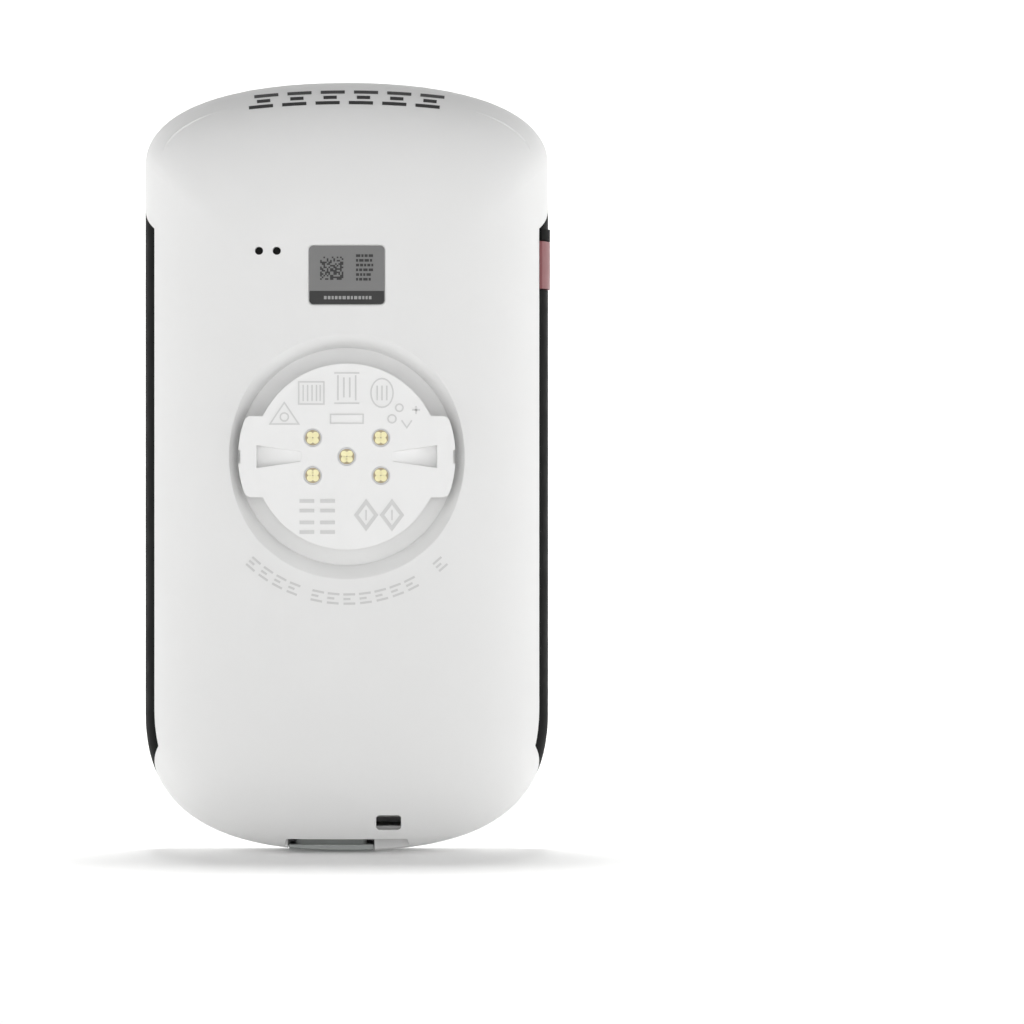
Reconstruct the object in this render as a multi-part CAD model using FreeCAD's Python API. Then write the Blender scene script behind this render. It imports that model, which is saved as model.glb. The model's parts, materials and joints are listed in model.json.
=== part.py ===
import FreeCAD, Part
import math
import os
from FreeCAD import Vector

# A cycling computer, in millimetres. +X is its right side seen from behind, +Y points out through the
# display, +Z is up. The origin is the centre of the outer face of the quarter-turn disc on its back.

# Overall sizes.
WIDTH = 55.6
HEIGHT = 106.0
DEPTH = 17.9
DISC_TO_BOTTOM = 54.4

# Outline of the case at its belt, where it is widest: straight sides, and arches at the two ends.
TOP_ARCH = 11.3
TOP_POWER = 2.25
BOTTOM_ARCH = 19.0
BOTTOM_POWER = 2.5

# The back closes in from the belt along one rounded section. The arches flatten as they close in.
BACK_Y = 1.5
BELT_TO_FACE = 4.5
SIDE_ROUND = 19.2
TOP_ROUND = 22.0
BOTTOM_ROUND = 20.0
ROUND_POWER = 2.5
ARCH_FADE = 0.4
FRONT_EDGE = 1.2
KEYS_PROUD = 0.4

# Walls, seams and clearances.
WALL = 1.6
FLOOR = 1.6
SEAM_GAP = 0.05
SLIDE_GAP = 0.15
FIT_GAP = 0.1
THREAD_GAP = 0.03
RIB_WALL = 1.2
RIB_HALF = 14.0
RIB_ZS = (32.0, 20.0)
TONGUE_INSET = 2.35
TONGUE_WALL = 0.8
TONGUE_ROOT = 0.5
SEAL_HEIGHT = 0.5
RAIL_WALL = 2.2

# Seams between the white back, the black frame and the white chin.
SIDE_SEAM_Y = 7.2
TOP_SEAM_DROP = 1.7
RAIL_TIP_Z = 31.2
RAIL_TIP_RISE = 5.4
RAIL_END_Z = -39.6
CHIN_HEIGHT = 16.2
CHIN_SLOPE = 5.6
CHIN_STEP = 0.6

# Quarter-turn disc.
DISC_R = 12.6
TAB_OUT = 2.1
TAB_HALF = 5.5
TAB_THICK = 1.6
TAB_CORNER = 1.0
NOTCH_HALF = 0.9
NOTCH_DEEP = 0.3
NECK_Y = 3.9
RIM_MARGIN = 1.9
STEM_STEP = 1.4
WEDGE_IN = 6.15
WEDGE_END = 2.5
WEDGE_HALF_IN = 0.63
WEDGE_HALF_OUT = 1.52
WEDGE_DEEP = 1.3
BACKPLATE_THICK = 0.8
INSERT_SCREW_IN = 1.3
INSERT_SCREW_DEEP = 3.0

# Contacts in the disc.
PAD_R = 1.2
PAD_SHANK_R = 0.45
PAD_THICK = 0.8
PAD_SUNK = 0.12
PAD_GAP = 0.05
PAD_SOLDER = 0.2
PAD_X = 4.6
PAD_Z = 2.55
CONTACT_BOARD_GAP = 0.8
BOARD_THICK = 0.8
FLEX_THICK = 0.15
FLEX_HALF = 3.0
CONTACT_SEAL = 0.2
PLUG_OVERHANG = 0.6
PLUG_DEEP = 1.2
PLUG_HIGH = 2.0
SEAL_RING_IN = 0.3
SEAL_RING_OUT = 0.9
SEAL_RING_DEEP = 0.38

# Display stack, from the face inwards.
GLASS_SUNK = 0.1
GLASS_THICK = 1.1
GLASS_MARGIN = 1.5
GLASS_TAPE = 0.2
LEDGE = 0.9
TOUCH_THICK = 0.35
LCD_THICK = 1.0
BACKLIGHT_THICK = 0.85
CHASSIS_THICK = 0.4
CHASSIS_POST = 0.35
WINDOW_SIDE = 6.2
WINDOW_TOP = 10.6
WINDOW_CHIN = 5.2
WINDOW_CORNER = 1.0
LCD_MARGIN = 0.8
CHASSIS_LAP = 0.6
CHASSIS_CORNER = 1.4
DISPLAY_FLEX_HALF = 5.0
DISPLAY_PLUG_HALF = 6.0
DISPLAY_PLUG_THICK = 0.8

# Main board and what is on it.
BOARD_SIDE = 6.9
BOARD_TOP = 6.8
BOARD_TAIL = 5.9
BOARD_TAIL_HALF = 16.0
ANTENNA_SIZE = 12.0
ANTENNA_THICK = 4.0
SHIELD_THICK = 1.9
SHEET = 0.2
BUZZER_R = 4.0
BUZZER_THICK = 3.0
BOARD_CORNER = 2.0
WIRELESS_WIDE = 9.5
WIRELESS_HIGH = 10.0
WIRELESS_ANTENNA = (-18.0, -9.0)
WIRELESS_ANTENNA_HIGH = 1.2
BAROMETER_SIZE = 2.0
SHIELD_XS = (-17.8, -3.8)
SHIELD_HIGH = 13.0
PROCESSOR_SIZE = 8.0
MEMORY_WIDE = 3.2
MEMORY_HIGH = 6.0
POWER_CHIP_X = 5.0
POWER_CHIP_SIZE = 5.0
COIL_X = 12.0
COIL_SIZE = 2.5
COIL_PITCH = 3.2
CHIP_THICK = 1.2
THIN_CHIP = 0.9

# Battery.
BATTERY_SIDE = 2.9
BATTERY_BOTTOM = -20.0
BATTERY_PAD = 0.4
BATTERY_CLEAR = 0.7
BATTERY_BOARD = 1.0
BATTERY_TO_ANTENNA = 2.7
BATTERY_CORNER = 1.0
PAD_SHORT = 2.0
LEAD_R = 0.4
LEAD_PITCH = 2.0
SOCKET_WIDE = 5.6
SOCKET_HIGH = 2.4
SOCKET_THICK = 1.6

# Charging port, its cap, and the tether slot beside it.
PORT_X = -2.15
PORT_WIDE = 8.94
PORT_HIGH = 3.16
PORT_LONG = 7.3
PORT_MOUTH = 2.8
PORT_SHEET = 0.3
PORT_BACK = 1.2
TONGUE_PLUG_HALF = 3.35
TONGUE_PLUG_THICK = 0.7
PORT_SEAL = 0.6
RECESS_CORNER = 1.2
RECESS_SIDE = 1.48
RECESS_OVER = 1.17
CAP_THICK = 1.1
CAP_PLUG = 1.2
HINGE_R = 0.5
PIN_R = 0.25
PIN_IN = 0.9
NAIL_HIGH = 0.9
NOTCH_WIDE = 18.4
NOTCH_TOP_WIDE = 16.5
NOTCH_HIGH = 2.1
TETHER_X = 4.0
TETHER_WIDE = 3.4
TETHER_HIGH = 2.1
TETHER_BAR = 1.4
TETHER_PASS = 2.0
BLOCK_HALF = 10.4
BLOCK_HIGH = 6.8
BLOCK_GAP = 0.4

# Power key, on the right side seen from behind.
POWER_Z = 26.25
POWER_HALF = 3.25
POWER_PROUD = 0.25
POWER_SPAN = 6.3
SURROUND_HIGH = 1.7
KEY_FLANGE = 0.8
KEY_LIP = 0.6
KEY_STEM_R = 0.9
KEY_TRAVEL = 0.35
SWITCH_WIDE = 4.0
SWITCH_DEEP = 1.4
SWITCH_R = 0.65
KEY_ROOM = 1.2
KEY_CHAMFER = 2.1
KEY_SEAL_WING = 1.7
KEY_SEAL_WALL = 0.5

# Two keys in the chin.
CHIN_KEY_X = 11.5
CHIN_KEY_Z = 8.8
CHIN_KEY_WIDE = 12.0
CHIN_KEY_HIGH = 5.0
CHIN_FLANGE = 0.6
CHIN_SEAL_GAP = 0.2
CHIN_SEAL_WALL = 0.3
CHIN_STEM_R = 1.0
CHIN_SWITCH_THICK = 0.75
CHIN_SWITCH_R = 0.7
HOOK_HALF = 15.0
HOOK_DEEP = 0.9
HOOK_HIGH = 2.8
HOOK_REACH = 2.0

# Screws.
CASE_SCREW_SIDE = 3.8
CASE_SCREW_TOP = 14.6
CASE_SCREW_MID_Z = 2.0
CASE_SCREW_BOTTOM = 21.4
CASE_BOSS_R = 1.7
CASE_SCREW_R = 0.7
CASE_HEAD_R = 1.35
CASE_HEAD = 0.8
CASE_SCREW_IN = 4.3
HEAD_SUNK = 0.3
SOCKET_SHARE = 0.45
SMALL_SCREW_R = 0.5
SMALL_HEAD_R = 1.1
SMALL_HEAD = 0.6

# Small things on the back.
VENT_XS = (-11.9, -9.5)
VENT_Z = 27.9
VENT_R = 0.55
LABEL_HALF = 5.12
LABEL_LOW = 20.6
LABEL_HIGH = 28.6
LABEL_CORNER = 0.6
LABEL_THICK = 0.1
LABEL_SUNK = 0.02
MEMBRANE_MARGIN = 1.6
MEMBRANE_THICK = 0.2
MEMBRANE_SEAT = 0.5

# Heights and depths that follow from the sizes above.
HALF_W = WIDTH / 2
TOP_Z = HEIGHT - DISC_TO_BOTTOM
BOTTOM_Z = -DISC_TO_BOTTOM
FACE_Y = DEPTH - KEYS_PROUD
BELT_Y = FACE_Y - BELT_TO_FACE
GLASS_Y = FACE_Y - GLASS_SUNK - GLASS_THICK
LEDGE_Y = GLASS_Y - GLASS_TAPE
UNDER_LEDGE = LEDGE_Y - LEDGE
TOUCH_Y = GLASS_Y - TOUCH_THICK
LCD_Y = TOUCH_Y - LCD_THICK
BACKLIGHT_Y = LCD_Y - BACKLIGHT_THICK
CHASSIS_Y = BACKLIGHT_Y - SEAM_GAP - CHASSIS_THICK
RECESS_WIDE = PORT_WIDE + 2 * RECESS_SIDE
RECESS_HIGH = PORT_HIGH + 2 * RECESS_OVER
BOARD_FRONT = CHASSIS_Y - CHASSIS_POST
BOARD_BACK = BOARD_FRONT - BOARD_THICK
PORT_Y = (BOARD_FRONT + BOARD_BACK) / 2 - 0.3
BOTTOM_SEAM_Y = PORT_Y - RECESS_HIGH / 2 - 0.45
TOP_SEAM_Y = FACE_Y - TOP_SEAM_DROP
TONGUE_TOP = BOARD_BACK - 0.2
RIB_Y = TONGUE_TOP + SEAL_HEIGHT + SEAM_GAP
INNER_FLOOR = NECK_Y + FLOOR
BACKPLATE_Y = INNER_FLOOR + SEAM_GAP
BATTERY_Y = BACKPLATE_Y + BACKPLATE_THICK + SMALL_HEAD + 0.15 + BATTERY_PAD
BATTERY_FRONT = BOARD_BACK - BATTERY_CLEAR
CHIN_TOP = BOTTOM_Z + CHIN_HEIGHT
WINDOW_HALF = HALF_W - WINDOW_SIDE
WINDOW_HIGH = TOP_Z - WINDOW_TOP
WINDOW_LOW = CHIN_TOP + WINDOW_CHIN
LCD_HALF = WINDOW_HALF - LCD_MARGIN
BOARD_HALF = HALF_W - BOARD_SIDE
BOARD_HIGH = TOP_Z - BOARD_TOP
BOARD_LOW = BOTTOM_Z + BOARD_TAIL
ANTENNA_LOW = BOARD_HIGH - 0.5 - ANTENNA_SIZE
BATTERY_HIGH = ANTENNA_LOW - BATTERY_TO_ANTENNA - BATTERY_BOARD
BATTERY_HALF = BOARD_HALF - BATTERY_SIDE
SCREW_X = HALF_W - CASE_SCREW_SIDE
CASE_SCREW_ZS = (TOP_Z - CASE_SCREW_TOP, CASE_SCREW_MID_Z, BOTTOM_Z + CASE_SCREW_BOTTOM)
BOARD_SCREW_X = BOARD_HALF - 1.5
PORT_LOW = BOTTOM_Z + PORT_MOUTH
CHIN_KEY_LEVEL = BOTTOM_Z + CHIN_KEY_Z
NOTCH_TOP_Z = BOTTOM_Z + NOTCH_HIGH
TETHER_LOW = NOTCH_TOP_Z + TETHER_BAR
HINGE_Y = PORT_Y + RECESS_HIGH / 2 - HINGE_R
HINGE_Z = BOTTOM_Z + HINGE_R + 0.05
KEY_Y0 = SIDE_SEAM_Y + SLIDE_GAP
KEY_Y1 = KEY_Y0 + POWER_SPAN
KEY_Y = BOARD_BACK - 1.5
TAB_R = DISC_R + TAB_OUT
RIM_R = TAB_R + RIM_MARGIN
STEM_R = DISC_R - STEM_STEP
INSERT_SCREW_R = STEM_R - INSERT_SCREW_IN
CONTACT_BOARD_R = INSERT_SCREW_R - SMALL_HEAD_R - CONTACT_BOARD_GAP
WEDGE_OUT = TAB_R - WEDGE_END
CHIN_WALL_Y = FACE_Y - WALL + FIT_GAP
FAR = 100.0
NODES = {}


def box(x0, x1, y0, y1, z0, z1):
    return Part.makeBox(x1 - x0, y1 - y0, z1 - z0, Vector(x0, y0, z0))


def rod_y(x, z, radius, y0, y1):
    return Part.makeCylinder(radius, y1 - y0, Vector(x, y0, z), Vector(0, 1, 0))


def rod_x(y, z, radius, x0, x1):
    return Part.makeCylinder(radius, x1 - x0, Vector(x0, y, z), Vector(1, 0, 0))


def rod_z(x, y, radius, z0, z1):
    return Part.makeCylinder(radius, z1 - z0, Vector(x, y, z0))


def ring_y(outer, inner, y0, y1):
    return rod_y(0, 0, outer, y0, y1).cut(rod_y(0, 0, inner, y0 - 1, y1 + 1))


def edges_along_y(shape):
    found = []
    for edge in shape.Edges:
        size = edge.BoundBox
        if size.XLength < 0.01 and size.ZLength < 0.01:
            found.append(edge)
    return found


def edges_along_z(shape):
    found = []
    for edge in shape.Edges:
        size = edge.BoundBox
        if size.XLength < 0.01 and size.YLength < 0.01:
            found.append(edge)
    return found


def plate(x0, x1, y0, y1, z0, z1, corner):
    # A slab whose corners, seen from the front, are round.
    slab = box(x0, x1, y0, y1, z0, z1)
    return slab.makeFillet(corner, edges_along_y(slab))


def prism_x(points, x0, x1):
    # A solid along X over an outline of (y, z) points.
    corners = [Vector(x0, y, z) for y, z in points]
    outline_wire = Part.makePolygon(corners + corners[:1])
    return Part.Face(outline_wire).extrude(Vector(x1 - x0, 0, 0))


def prism_y(points, y0, y1):
    # A solid along Y over an outline of (x, z) points.
    corners = [Vector(x, y0, z) for x, z in points]
    outline_wire = Part.makePolygon(corners + corners[:1])
    return Part.Face(outline_wire).extrude(Vector(0, y1 - y0, 0))


def prism_z(points, z0, z1):
    # A solid along Z over an outline of (x, y) points.
    corners = [Vector(x, y, z0) for x, y in points]
    outline_wire = Part.makePolygon(corners + corners[:1])
    return Part.Face(outline_wire).extrude(Vector(0, 0, z1 - z0))


def fused(shapes):
    total = shapes[0]
    for shape in shapes[1:]:
        total = total.fuse(shape)
    return total


def save(name, shape):
    NODES[name] = shape
    shape.exportStep("parts/" + name + ".step")


def quarter(side, tip, power):
    # A quarter of a superellipse, from its side, where it stands upright, to its tip, where it is level.
    handle = (8 * 2 ** (-1 / power) - 4) / 3
    curve = Part.BezierCurve()
    curve.setPoles([
        side,
        Vector(side.x, side.y, side.z + handle * (tip.z - side.z)),
        Vector(tip.x + handle * (side.x - tip.x), tip.y, tip.z),
        tip,
    ])
    return curve.toShape()


def outline(inset, y, closed_in=0.0):
    # The case outline at one depth. closed_in goes from 0 at the belt to 1 on the flat of the back.
    half = HALF_W - inset - SIDE_ROUND * closed_in
    top = TOP_Z - inset - TOP_ROUND * closed_in
    bottom = BOTTOM_Z + inset + BOTTOM_ROUND * closed_in
    flatter = 1 - ARCH_FADE * closed_in
    top_rise = (TOP_ARCH - inset) * flatter
    bottom_rise = (BOTTOM_ARCH - inset) * flatter
    top_side = top - top_rise
    low_side = bottom + bottom_rise
    right_top = Vector(half, y, top_side)
    left_top = Vector(-half, y, top_side)
    right_low = Vector(half, y, low_side)
    left_low = Vector(-half, y, low_side)
    top_tip = Vector(0, y, top)
    low_tip = Vector(0, y, bottom)
    return Part.Wire([
        quarter(right_top, top_tip, TOP_POWER),
        quarter(left_top, top_tip, TOP_POWER),
        Part.makeLine(left_top, left_low),
        quarter(left_low, low_tip, BOTTOM_POWER),
        quarter(right_low, low_tip, BOTTOM_POWER),
        Part.makeLine(right_low, right_top),
    ])


def prism_outline(inset, y0, y1):
    return Part.Face(outline(inset, y0)).extrude(Vector(0, y1 - y0, 0))


def ring_outline(outer_inset, inner_inset, y0, y1):
    return prism_outline(outer_inset, y0, y1).cut(prism_outline(inner_inset, y0 - 1, y1 + 1))


def back_level(inset, degrees):
    # Depth of one level of the rounded back, and how far its outline has closed in there.
    angle = math.radians(degrees)
    reach = 0.0 if degrees == 90 else math.cos(angle) ** (2 / ROUND_POWER)
    rise = math.sin(angle) ** (2 / ROUND_POWER)
    return BELT_Y - (BELT_Y - BACK_Y - inset) * rise, 1 - reach


def back_sections(inset):
    # The rounded back, from its flat to the belt.
    sections = []
    for degrees in (90, 85, 77, 67, 55, 42, 28, 14, 0):
        level, closed_in = back_level(inset, degrees)
        sections.append(outline(inset, level, closed_in))
    return sections


def straight_form(inset, end_y):
    # The rounded back, carried straight forward from the belt.
    sections = back_sections(inset)
    for share in (1 / 3, 2 / 3, 1):
        sections.append(outline(inset, BELT_Y + (end_y - BELT_Y) * share))
    return Part.makeLoft(sections, True, False, False, 3)


def case_form():
    # The whole outer form: the rounded back, straight sides, and a face with a rounded edge.
    sections = back_sections(0)
    edge_y = FACE_Y - FRONT_EDGE
    for share in (1 / 3, 2 / 3):
        sections.append(outline(0, BELT_Y + (edge_y - BELT_Y) * share))
    for degrees in (0, 18, 36, 54, 72, 90):
        angle = math.radians(degrees)
        sections.append(outline(FRONT_EDGE * (1 - math.cos(angle)), edge_y + FRONT_EDGE * math.sin(angle)))
    return Part.makeLoft(sections, True, False, False, 3)


def capsule(x, z, wide, high, y0, y1):
    end = wide / 2 - high / 2
    middle = box(x - end, x + end, y0, y1, z - high / 2, z + high / 2)
    return fused([middle, rod_y(x - end, z, high / 2, y0, y1), rod_y(x + end, z, high / 2, y0, y1)])


def bottom_slab(x0, x1, y0, y1, z0, z1, corner):
    # A slab whose corners, seen from below, are round.
    slab = box(x0, x1, y0, y1, z0, z1)
    return slab.makeFillet(corner, edges_along_z(slab))


def screw_y(x, z, head_r, head_y, head_high, shank_r, tip_y):
    # A socket-head screw whose head points towards the display.
    head = rod_y(x, z, head_r, head_y, head_y + head_high)
    socket = rod_y(x, z, head_r * SOCKET_SHARE, head_y + head_high / 2, FAR)
    return head.cut(socket).fuse(rod_y(x, z, shank_r, tip_y, head_y))


ENVELOPE = case_form()
PROUD_FORM = straight_form(-POWER_PROUD, FACE_Y + 1)


def seam_points(shift):
    # The side view (y, z) of the edge where the white back meets the frame and the chin.
    side = SIDE_SEAM_Y + shift
    low = BOTTOM_SEAM_Y + shift
    drop = low - side
    return [
        (TOP_SEAM_Y + shift, TOP_Z + 5),
        (TOP_SEAM_Y + shift, RAIL_TIP_Z + RAIL_TIP_RISE),
        (side, RAIL_TIP_Z),
        (side, RAIL_END_Z),
        (low, RAIL_END_Z - drop),
        (low, BOTTOM_Z - 5),
    ]


def chin_region(shift):
    drop = BOTTOM_SEAM_Y - SIDE_SEAM_Y
    points = [
        (BOTTOM_SEAM_Y + SEAM_GAP, RAIL_END_Z - drop - shift),
        (BELT_Y, RAIL_END_Z - CHIN_SLOPE - shift),
        (TOP_SEAM_Y, RAIL_END_Z - CHIN_SLOPE - CHIN_STEP - shift),
        (TOP_SEAM_Y, CHIN_TOP - shift),
        (FACE_Y + 5, CHIN_TOP - shift),
        (FACE_Y + 5, BOTTOM_Z - 5),
        (BOTTOM_SEAM_Y + SEAM_GAP, BOTTOM_Z - 5),
    ]
    return prism_x(points, -FAR, FAR)


def ahead_of_seam(shift):
    front_corners = [(FACE_Y + 5, BOTTOM_Z - 5), (FACE_Y + 5, TOP_Z + 5)]
    return prism_x(seam_points(shift) + front_corners, -FAR, FAR)


def case_screw_places():
    return [(side * SCREW_X, z) for z in CASE_SCREW_ZS for side in (1, -1)]


def insert_screw_places():
    places = []
    for degrees in (45, 135, 225, 315):
        angle = math.radians(degrees)
        places.append((INSERT_SCREW_R * math.cos(angle), INSERT_SCREW_R * math.sin(angle)))
    return places


def board_screw_places():
    return [(side * BOARD_SCREW_X, z) for z in (WINDOW_HIGH - 2.5, WINDOW_LOW + 2.0) for side in (1, -1)]


def pad_places():
    corners = [(x * PAD_X, z * PAD_Z) for x in (-1, 1) for z in (-1, 1)]
    return [(0.0, 0.0)] + corners


def key_opening(gap):
    return box(HALF_W - 6, HALF_W + 5, SIDE_SEAM_Y - FIT_GAP, KEY_Y1 + gap,
               POWER_Z - POWER_HALF - gap, POWER_Z + POWER_HALF + gap)


def port_recess(gap):
    return bottom_slab(PORT_X - RECESS_WIDE / 2 + gap, PORT_X + RECESS_WIDE / 2 - gap,
                       PORT_Y - RECESS_HIGH / 2 + gap, PORT_Y + RECESS_HIGH / 2 - gap,
                       BOTTOM_Z - 5, PORT_LOW - PORT_SHEET, RECESS_CORNER)


def dish():
    # The round recess that the mount's ring turns in, as a solid to cut away.
    floor_r = TAB_R + 0.1
    rim = Vector(RIM_R, BACK_Y, 0)
    foot = Vector(floor_r, NECK_Y, 0)
    belly = Vector(floor_r + 0.35, NECK_Y - 0.9, 0)
    edges = [
        Part.makeLine(Vector(0, -1, 0), Vector(RIM_R, -1, 0)),
        Part.makeLine(Vector(RIM_R, -1, 0), rim),
        Part.Arc(rim, belly, foot).toShape(),
        Part.makeLine(foot, Vector(0, NECK_Y, 0)),
        Part.makeLine(Vector(0, NECK_Y, 0), Vector(0, -1, 0)),
    ]
    return Part.Face(Part.Wire(edges)).revolve(Vector(0, 0, 0), Vector(0, 1, 0), 360)


def tether_cut():
    # In through the back, down behind a bar, and out through the notch in the bottom edge.
    mouth = plate(TETHER_X, TETHER_X + TETHER_WIDE, -1, BOTTOM_SEAM_Y - 0.4,
                  TETHER_LOW, TETHER_LOW + TETHER_HIGH, 0.5)
    way_out = box(TETHER_X, TETHER_X + TETHER_WIDE, BOTTOM_SEAM_Y - TETHER_PASS, BOTTOM_SEAM_Y + 1,
                  BOTTOM_Z - 5, TETHER_LOW + TETHER_HIGH - 0.6)
    return mouth.fuse(way_out)


def bottom_notch():
    wide = NOTCH_WIDE / 2
    narrow = NOTCH_TOP_WIDE / 2
    points = [(-wide, BOTTOM_Z - 1), (wide, BOTTOM_Z - 1), (narrow, NOTCH_TOP_Z), (-narrow, NOTCH_TOP_Z)]
    return prism_y(points, -1, BOTTOM_SEAM_Y + 1)


def key_clearance():
    # Room around the power key, through the tongue and its seal.
    return box(HALF_W - 6, HALF_W, SIDE_SEAM_Y - FIT_GAP, TONGUE_TOP + 1,
               POWER_Z - POWER_HALF - KEY_ROOM, POWER_Z + POWER_HALF + KEY_ROOM)


def hollow_steps():
    # The hollow of the back steps in inside the rounded form, so its wall is never thinner than stated.
    steps = [prism_outline(TONGUE_INSET + TONGUE_WALL, SIDE_SEAM_Y + 0.7, FACE_Y + 1)]
    for degrees in (31, 43, 56, 70, 85):
        level, closed_in = back_level(WALL, degrees)
        steps.append(Part.Face(outline(WALL, level, closed_in)).extrude(Vector(0, FACE_Y - level, 0)))
    return steps


def standing_pieces():
    # What stands up inside the back, each rooted in the thickness of its wall.
    rib_top = BATTERY_Y - BATTERY_PAD
    root = BACK_Y + WALL - 0.6
    rib_root = root + 0.2
    pieces = [rod_y(0, 0, RIM_R + WALL, root + 0.3, INNER_FLOOR)]
    for rib_z in RIB_ZS:
        pieces.append(box(-RIB_HALF, RIB_HALF, rib_root, rib_top, rib_z - RIB_WALL / 2, rib_z + RIB_WALL / 2))
    low_rib = BATTERY_BOTTOM + 0.6
    for x0, x1 in ((-RIB_HALF, -FLEX_HALF - 2), (FLEX_HALF + 2, RIB_HALF)):
        pieces.append(box(x0, x1, rib_root, rib_top, low_rib, low_rib + RIB_WALL))
    margin = MEMBRANE_MARGIN + 0.5
    pieces.append(box(min(VENT_XS) - margin, max(VENT_XS) + margin, root, BACK_Y + WALL + MEMBRANE_SEAT,
                      VENT_Z - margin, VENT_Z + margin))
    return pieces


def rear_shell():
    shell = ENVELOPE.cut(ahead_of_seam(0))
    port_room = box(-BLOCK_HALF - BLOCK_GAP, BLOCK_HALF + BLOCK_GAP, BOTTOM_SEAM_Y, TONGUE_TOP + 1,
                    BOTTOM_Z, BOTTOM_Z + BLOCK_HIGH)
    core = prism_outline(TONGUE_INSET, SIDE_SEAM_Y - TONGUE_ROOT, TONGUE_TOP)
    core = core.cut(port_room)
    core = core.cut(key_clearance())
    shell = shell.fuse(core)
    bosses = [rod_y(x, z, CASE_BOSS_R, 0, TONGUE_TOP) for x, z in case_screw_places()]
    kept = bosses + [box(-BLOCK_HALF, BLOCK_HALF, 0, BOTTOM_SEAM_Y, BOTTOM_Z - 1, BOTTOM_Z + BLOCK_HIGH)]
    for step in hollow_steps():
        for piece in kept:
            step = step.cut(piece)
        shell = shell.cut(step)
    shell = shell.cut(prism_outline(WALL, TONGUE_TOP, FACE_Y + 1))
    for piece in standing_pieces():
        shell = shell.fuse(piece)
    shell = shell.cut(dish())
    shell = shell.cut(rod_y(0, 0, STEM_R + FIT_GAP, 0, INNER_FLOOR + 1))
    shell = shell.cut(bottom_notch())
    shell = shell.cut(tether_cut())
    for x in VENT_XS:
        shell = shell.cut(rod_y(x, VENT_Z, VENT_R, 0, BACK_Y + WALL + 1))
    for x, z in case_screw_places():
        shell = shell.cut(rod_y(x, z, CASE_SCREW_R + THREAD_GAP, TONGUE_TOP - CASE_SCREW_IN - 0.2,
                                TONGUE_TOP + 1))
    shell = shell.cut(plate(-LABEL_HALF - FIT_GAP, LABEL_HALF + FIT_GAP, 0, BACK_Y + LABEL_THICK + LABEL_SUNK,
                            LABEL_LOW - FIT_GAP, LABEL_HIGH + FIT_GAP, LABEL_CORNER + FIT_GAP))
    save("rear_shell", shell)


def front_frame():
    frame = ENVELOPE.common(ahead_of_seam(SEAM_GAP).cut(chin_region(0)))
    over_ledge = box(-FAR, FAR, UNDER_LEDGE, FAR, CHIN_TOP, FAR)
    frame = frame.cut(prism_outline(RAIL_WALL, 0, FACE_Y + 1).cut(over_ledge))
    inner = WALL + SLIDE_GAP
    ledge = prism_outline(inner, UNDER_LEDGE, LEDGE_Y)
    rib = ring_outline(RAIL_WALL, TONGUE_INSET + TONGUE_WALL, RIB_Y, UNDER_LEDGE)
    above_chin = box(-FAR, FAR, 0, FAR, CHIN_TOP + SEAM_GAP, FAR)
    above_rails = box(-FAR, FAR, 0, FAR, RAIL_TIP_Z, FAR)
    rib_top = ring_outline(inner, TONGUE_INSET + TONGUE_WALL, RIB_Y, UNDER_LEDGE).common(above_rails)
    bosses = [rod_y(x, z, CASE_BOSS_R, RIB_Y, UNDER_LEDGE) for x, z in case_screw_places()]
    inside = fused([ledge, rib, rib_top] + bosses).common(above_chin)
    inside = inside.common(prism_outline(inner, RIB_Y, LEDGE_Y))
    frame = frame.fuse(inside)
    surround_z = POWER_Z + POWER_HALF
    surround = PROUD_FORM.common(box(HALF_W - 1.5, HALF_W + 1, SIDE_SEAM_Y + SEAM_GAP, KEY_Y1 + KEY_ROOM,
                                   surround_z, surround_z + SURROUND_HIGH))
    frame = frame.fuse(surround)
    pocket = prism_outline(GLASS_MARGIN, LEDGE_Y, FACE_Y + 1)
    frame = frame.cut(pocket.common(above_chin))
    frame = frame.cut(plate(-WINDOW_HALF, WINDOW_HALF, UNDER_LEDGE - 1, LEDGE_Y + 1, WINDOW_LOW,
                            WINDOW_HIGH, WINDOW_CORNER))
    frame = frame.cut(key_opening(SLIDE_GAP))
    for x, z in case_screw_places():
        frame = frame.cut(rod_y(x, z, CASE_SCREW_R + FIT_GAP, RIB_Y - 1, LEDGE_Y + 1))
        frame = frame.cut(rod_y(x, z, CASE_HEAD_R + FIT_GAP, UNDER_LEDGE - HEAD_SUNK, LEDGE_Y + 1))
    save("front_frame", frame)


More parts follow.
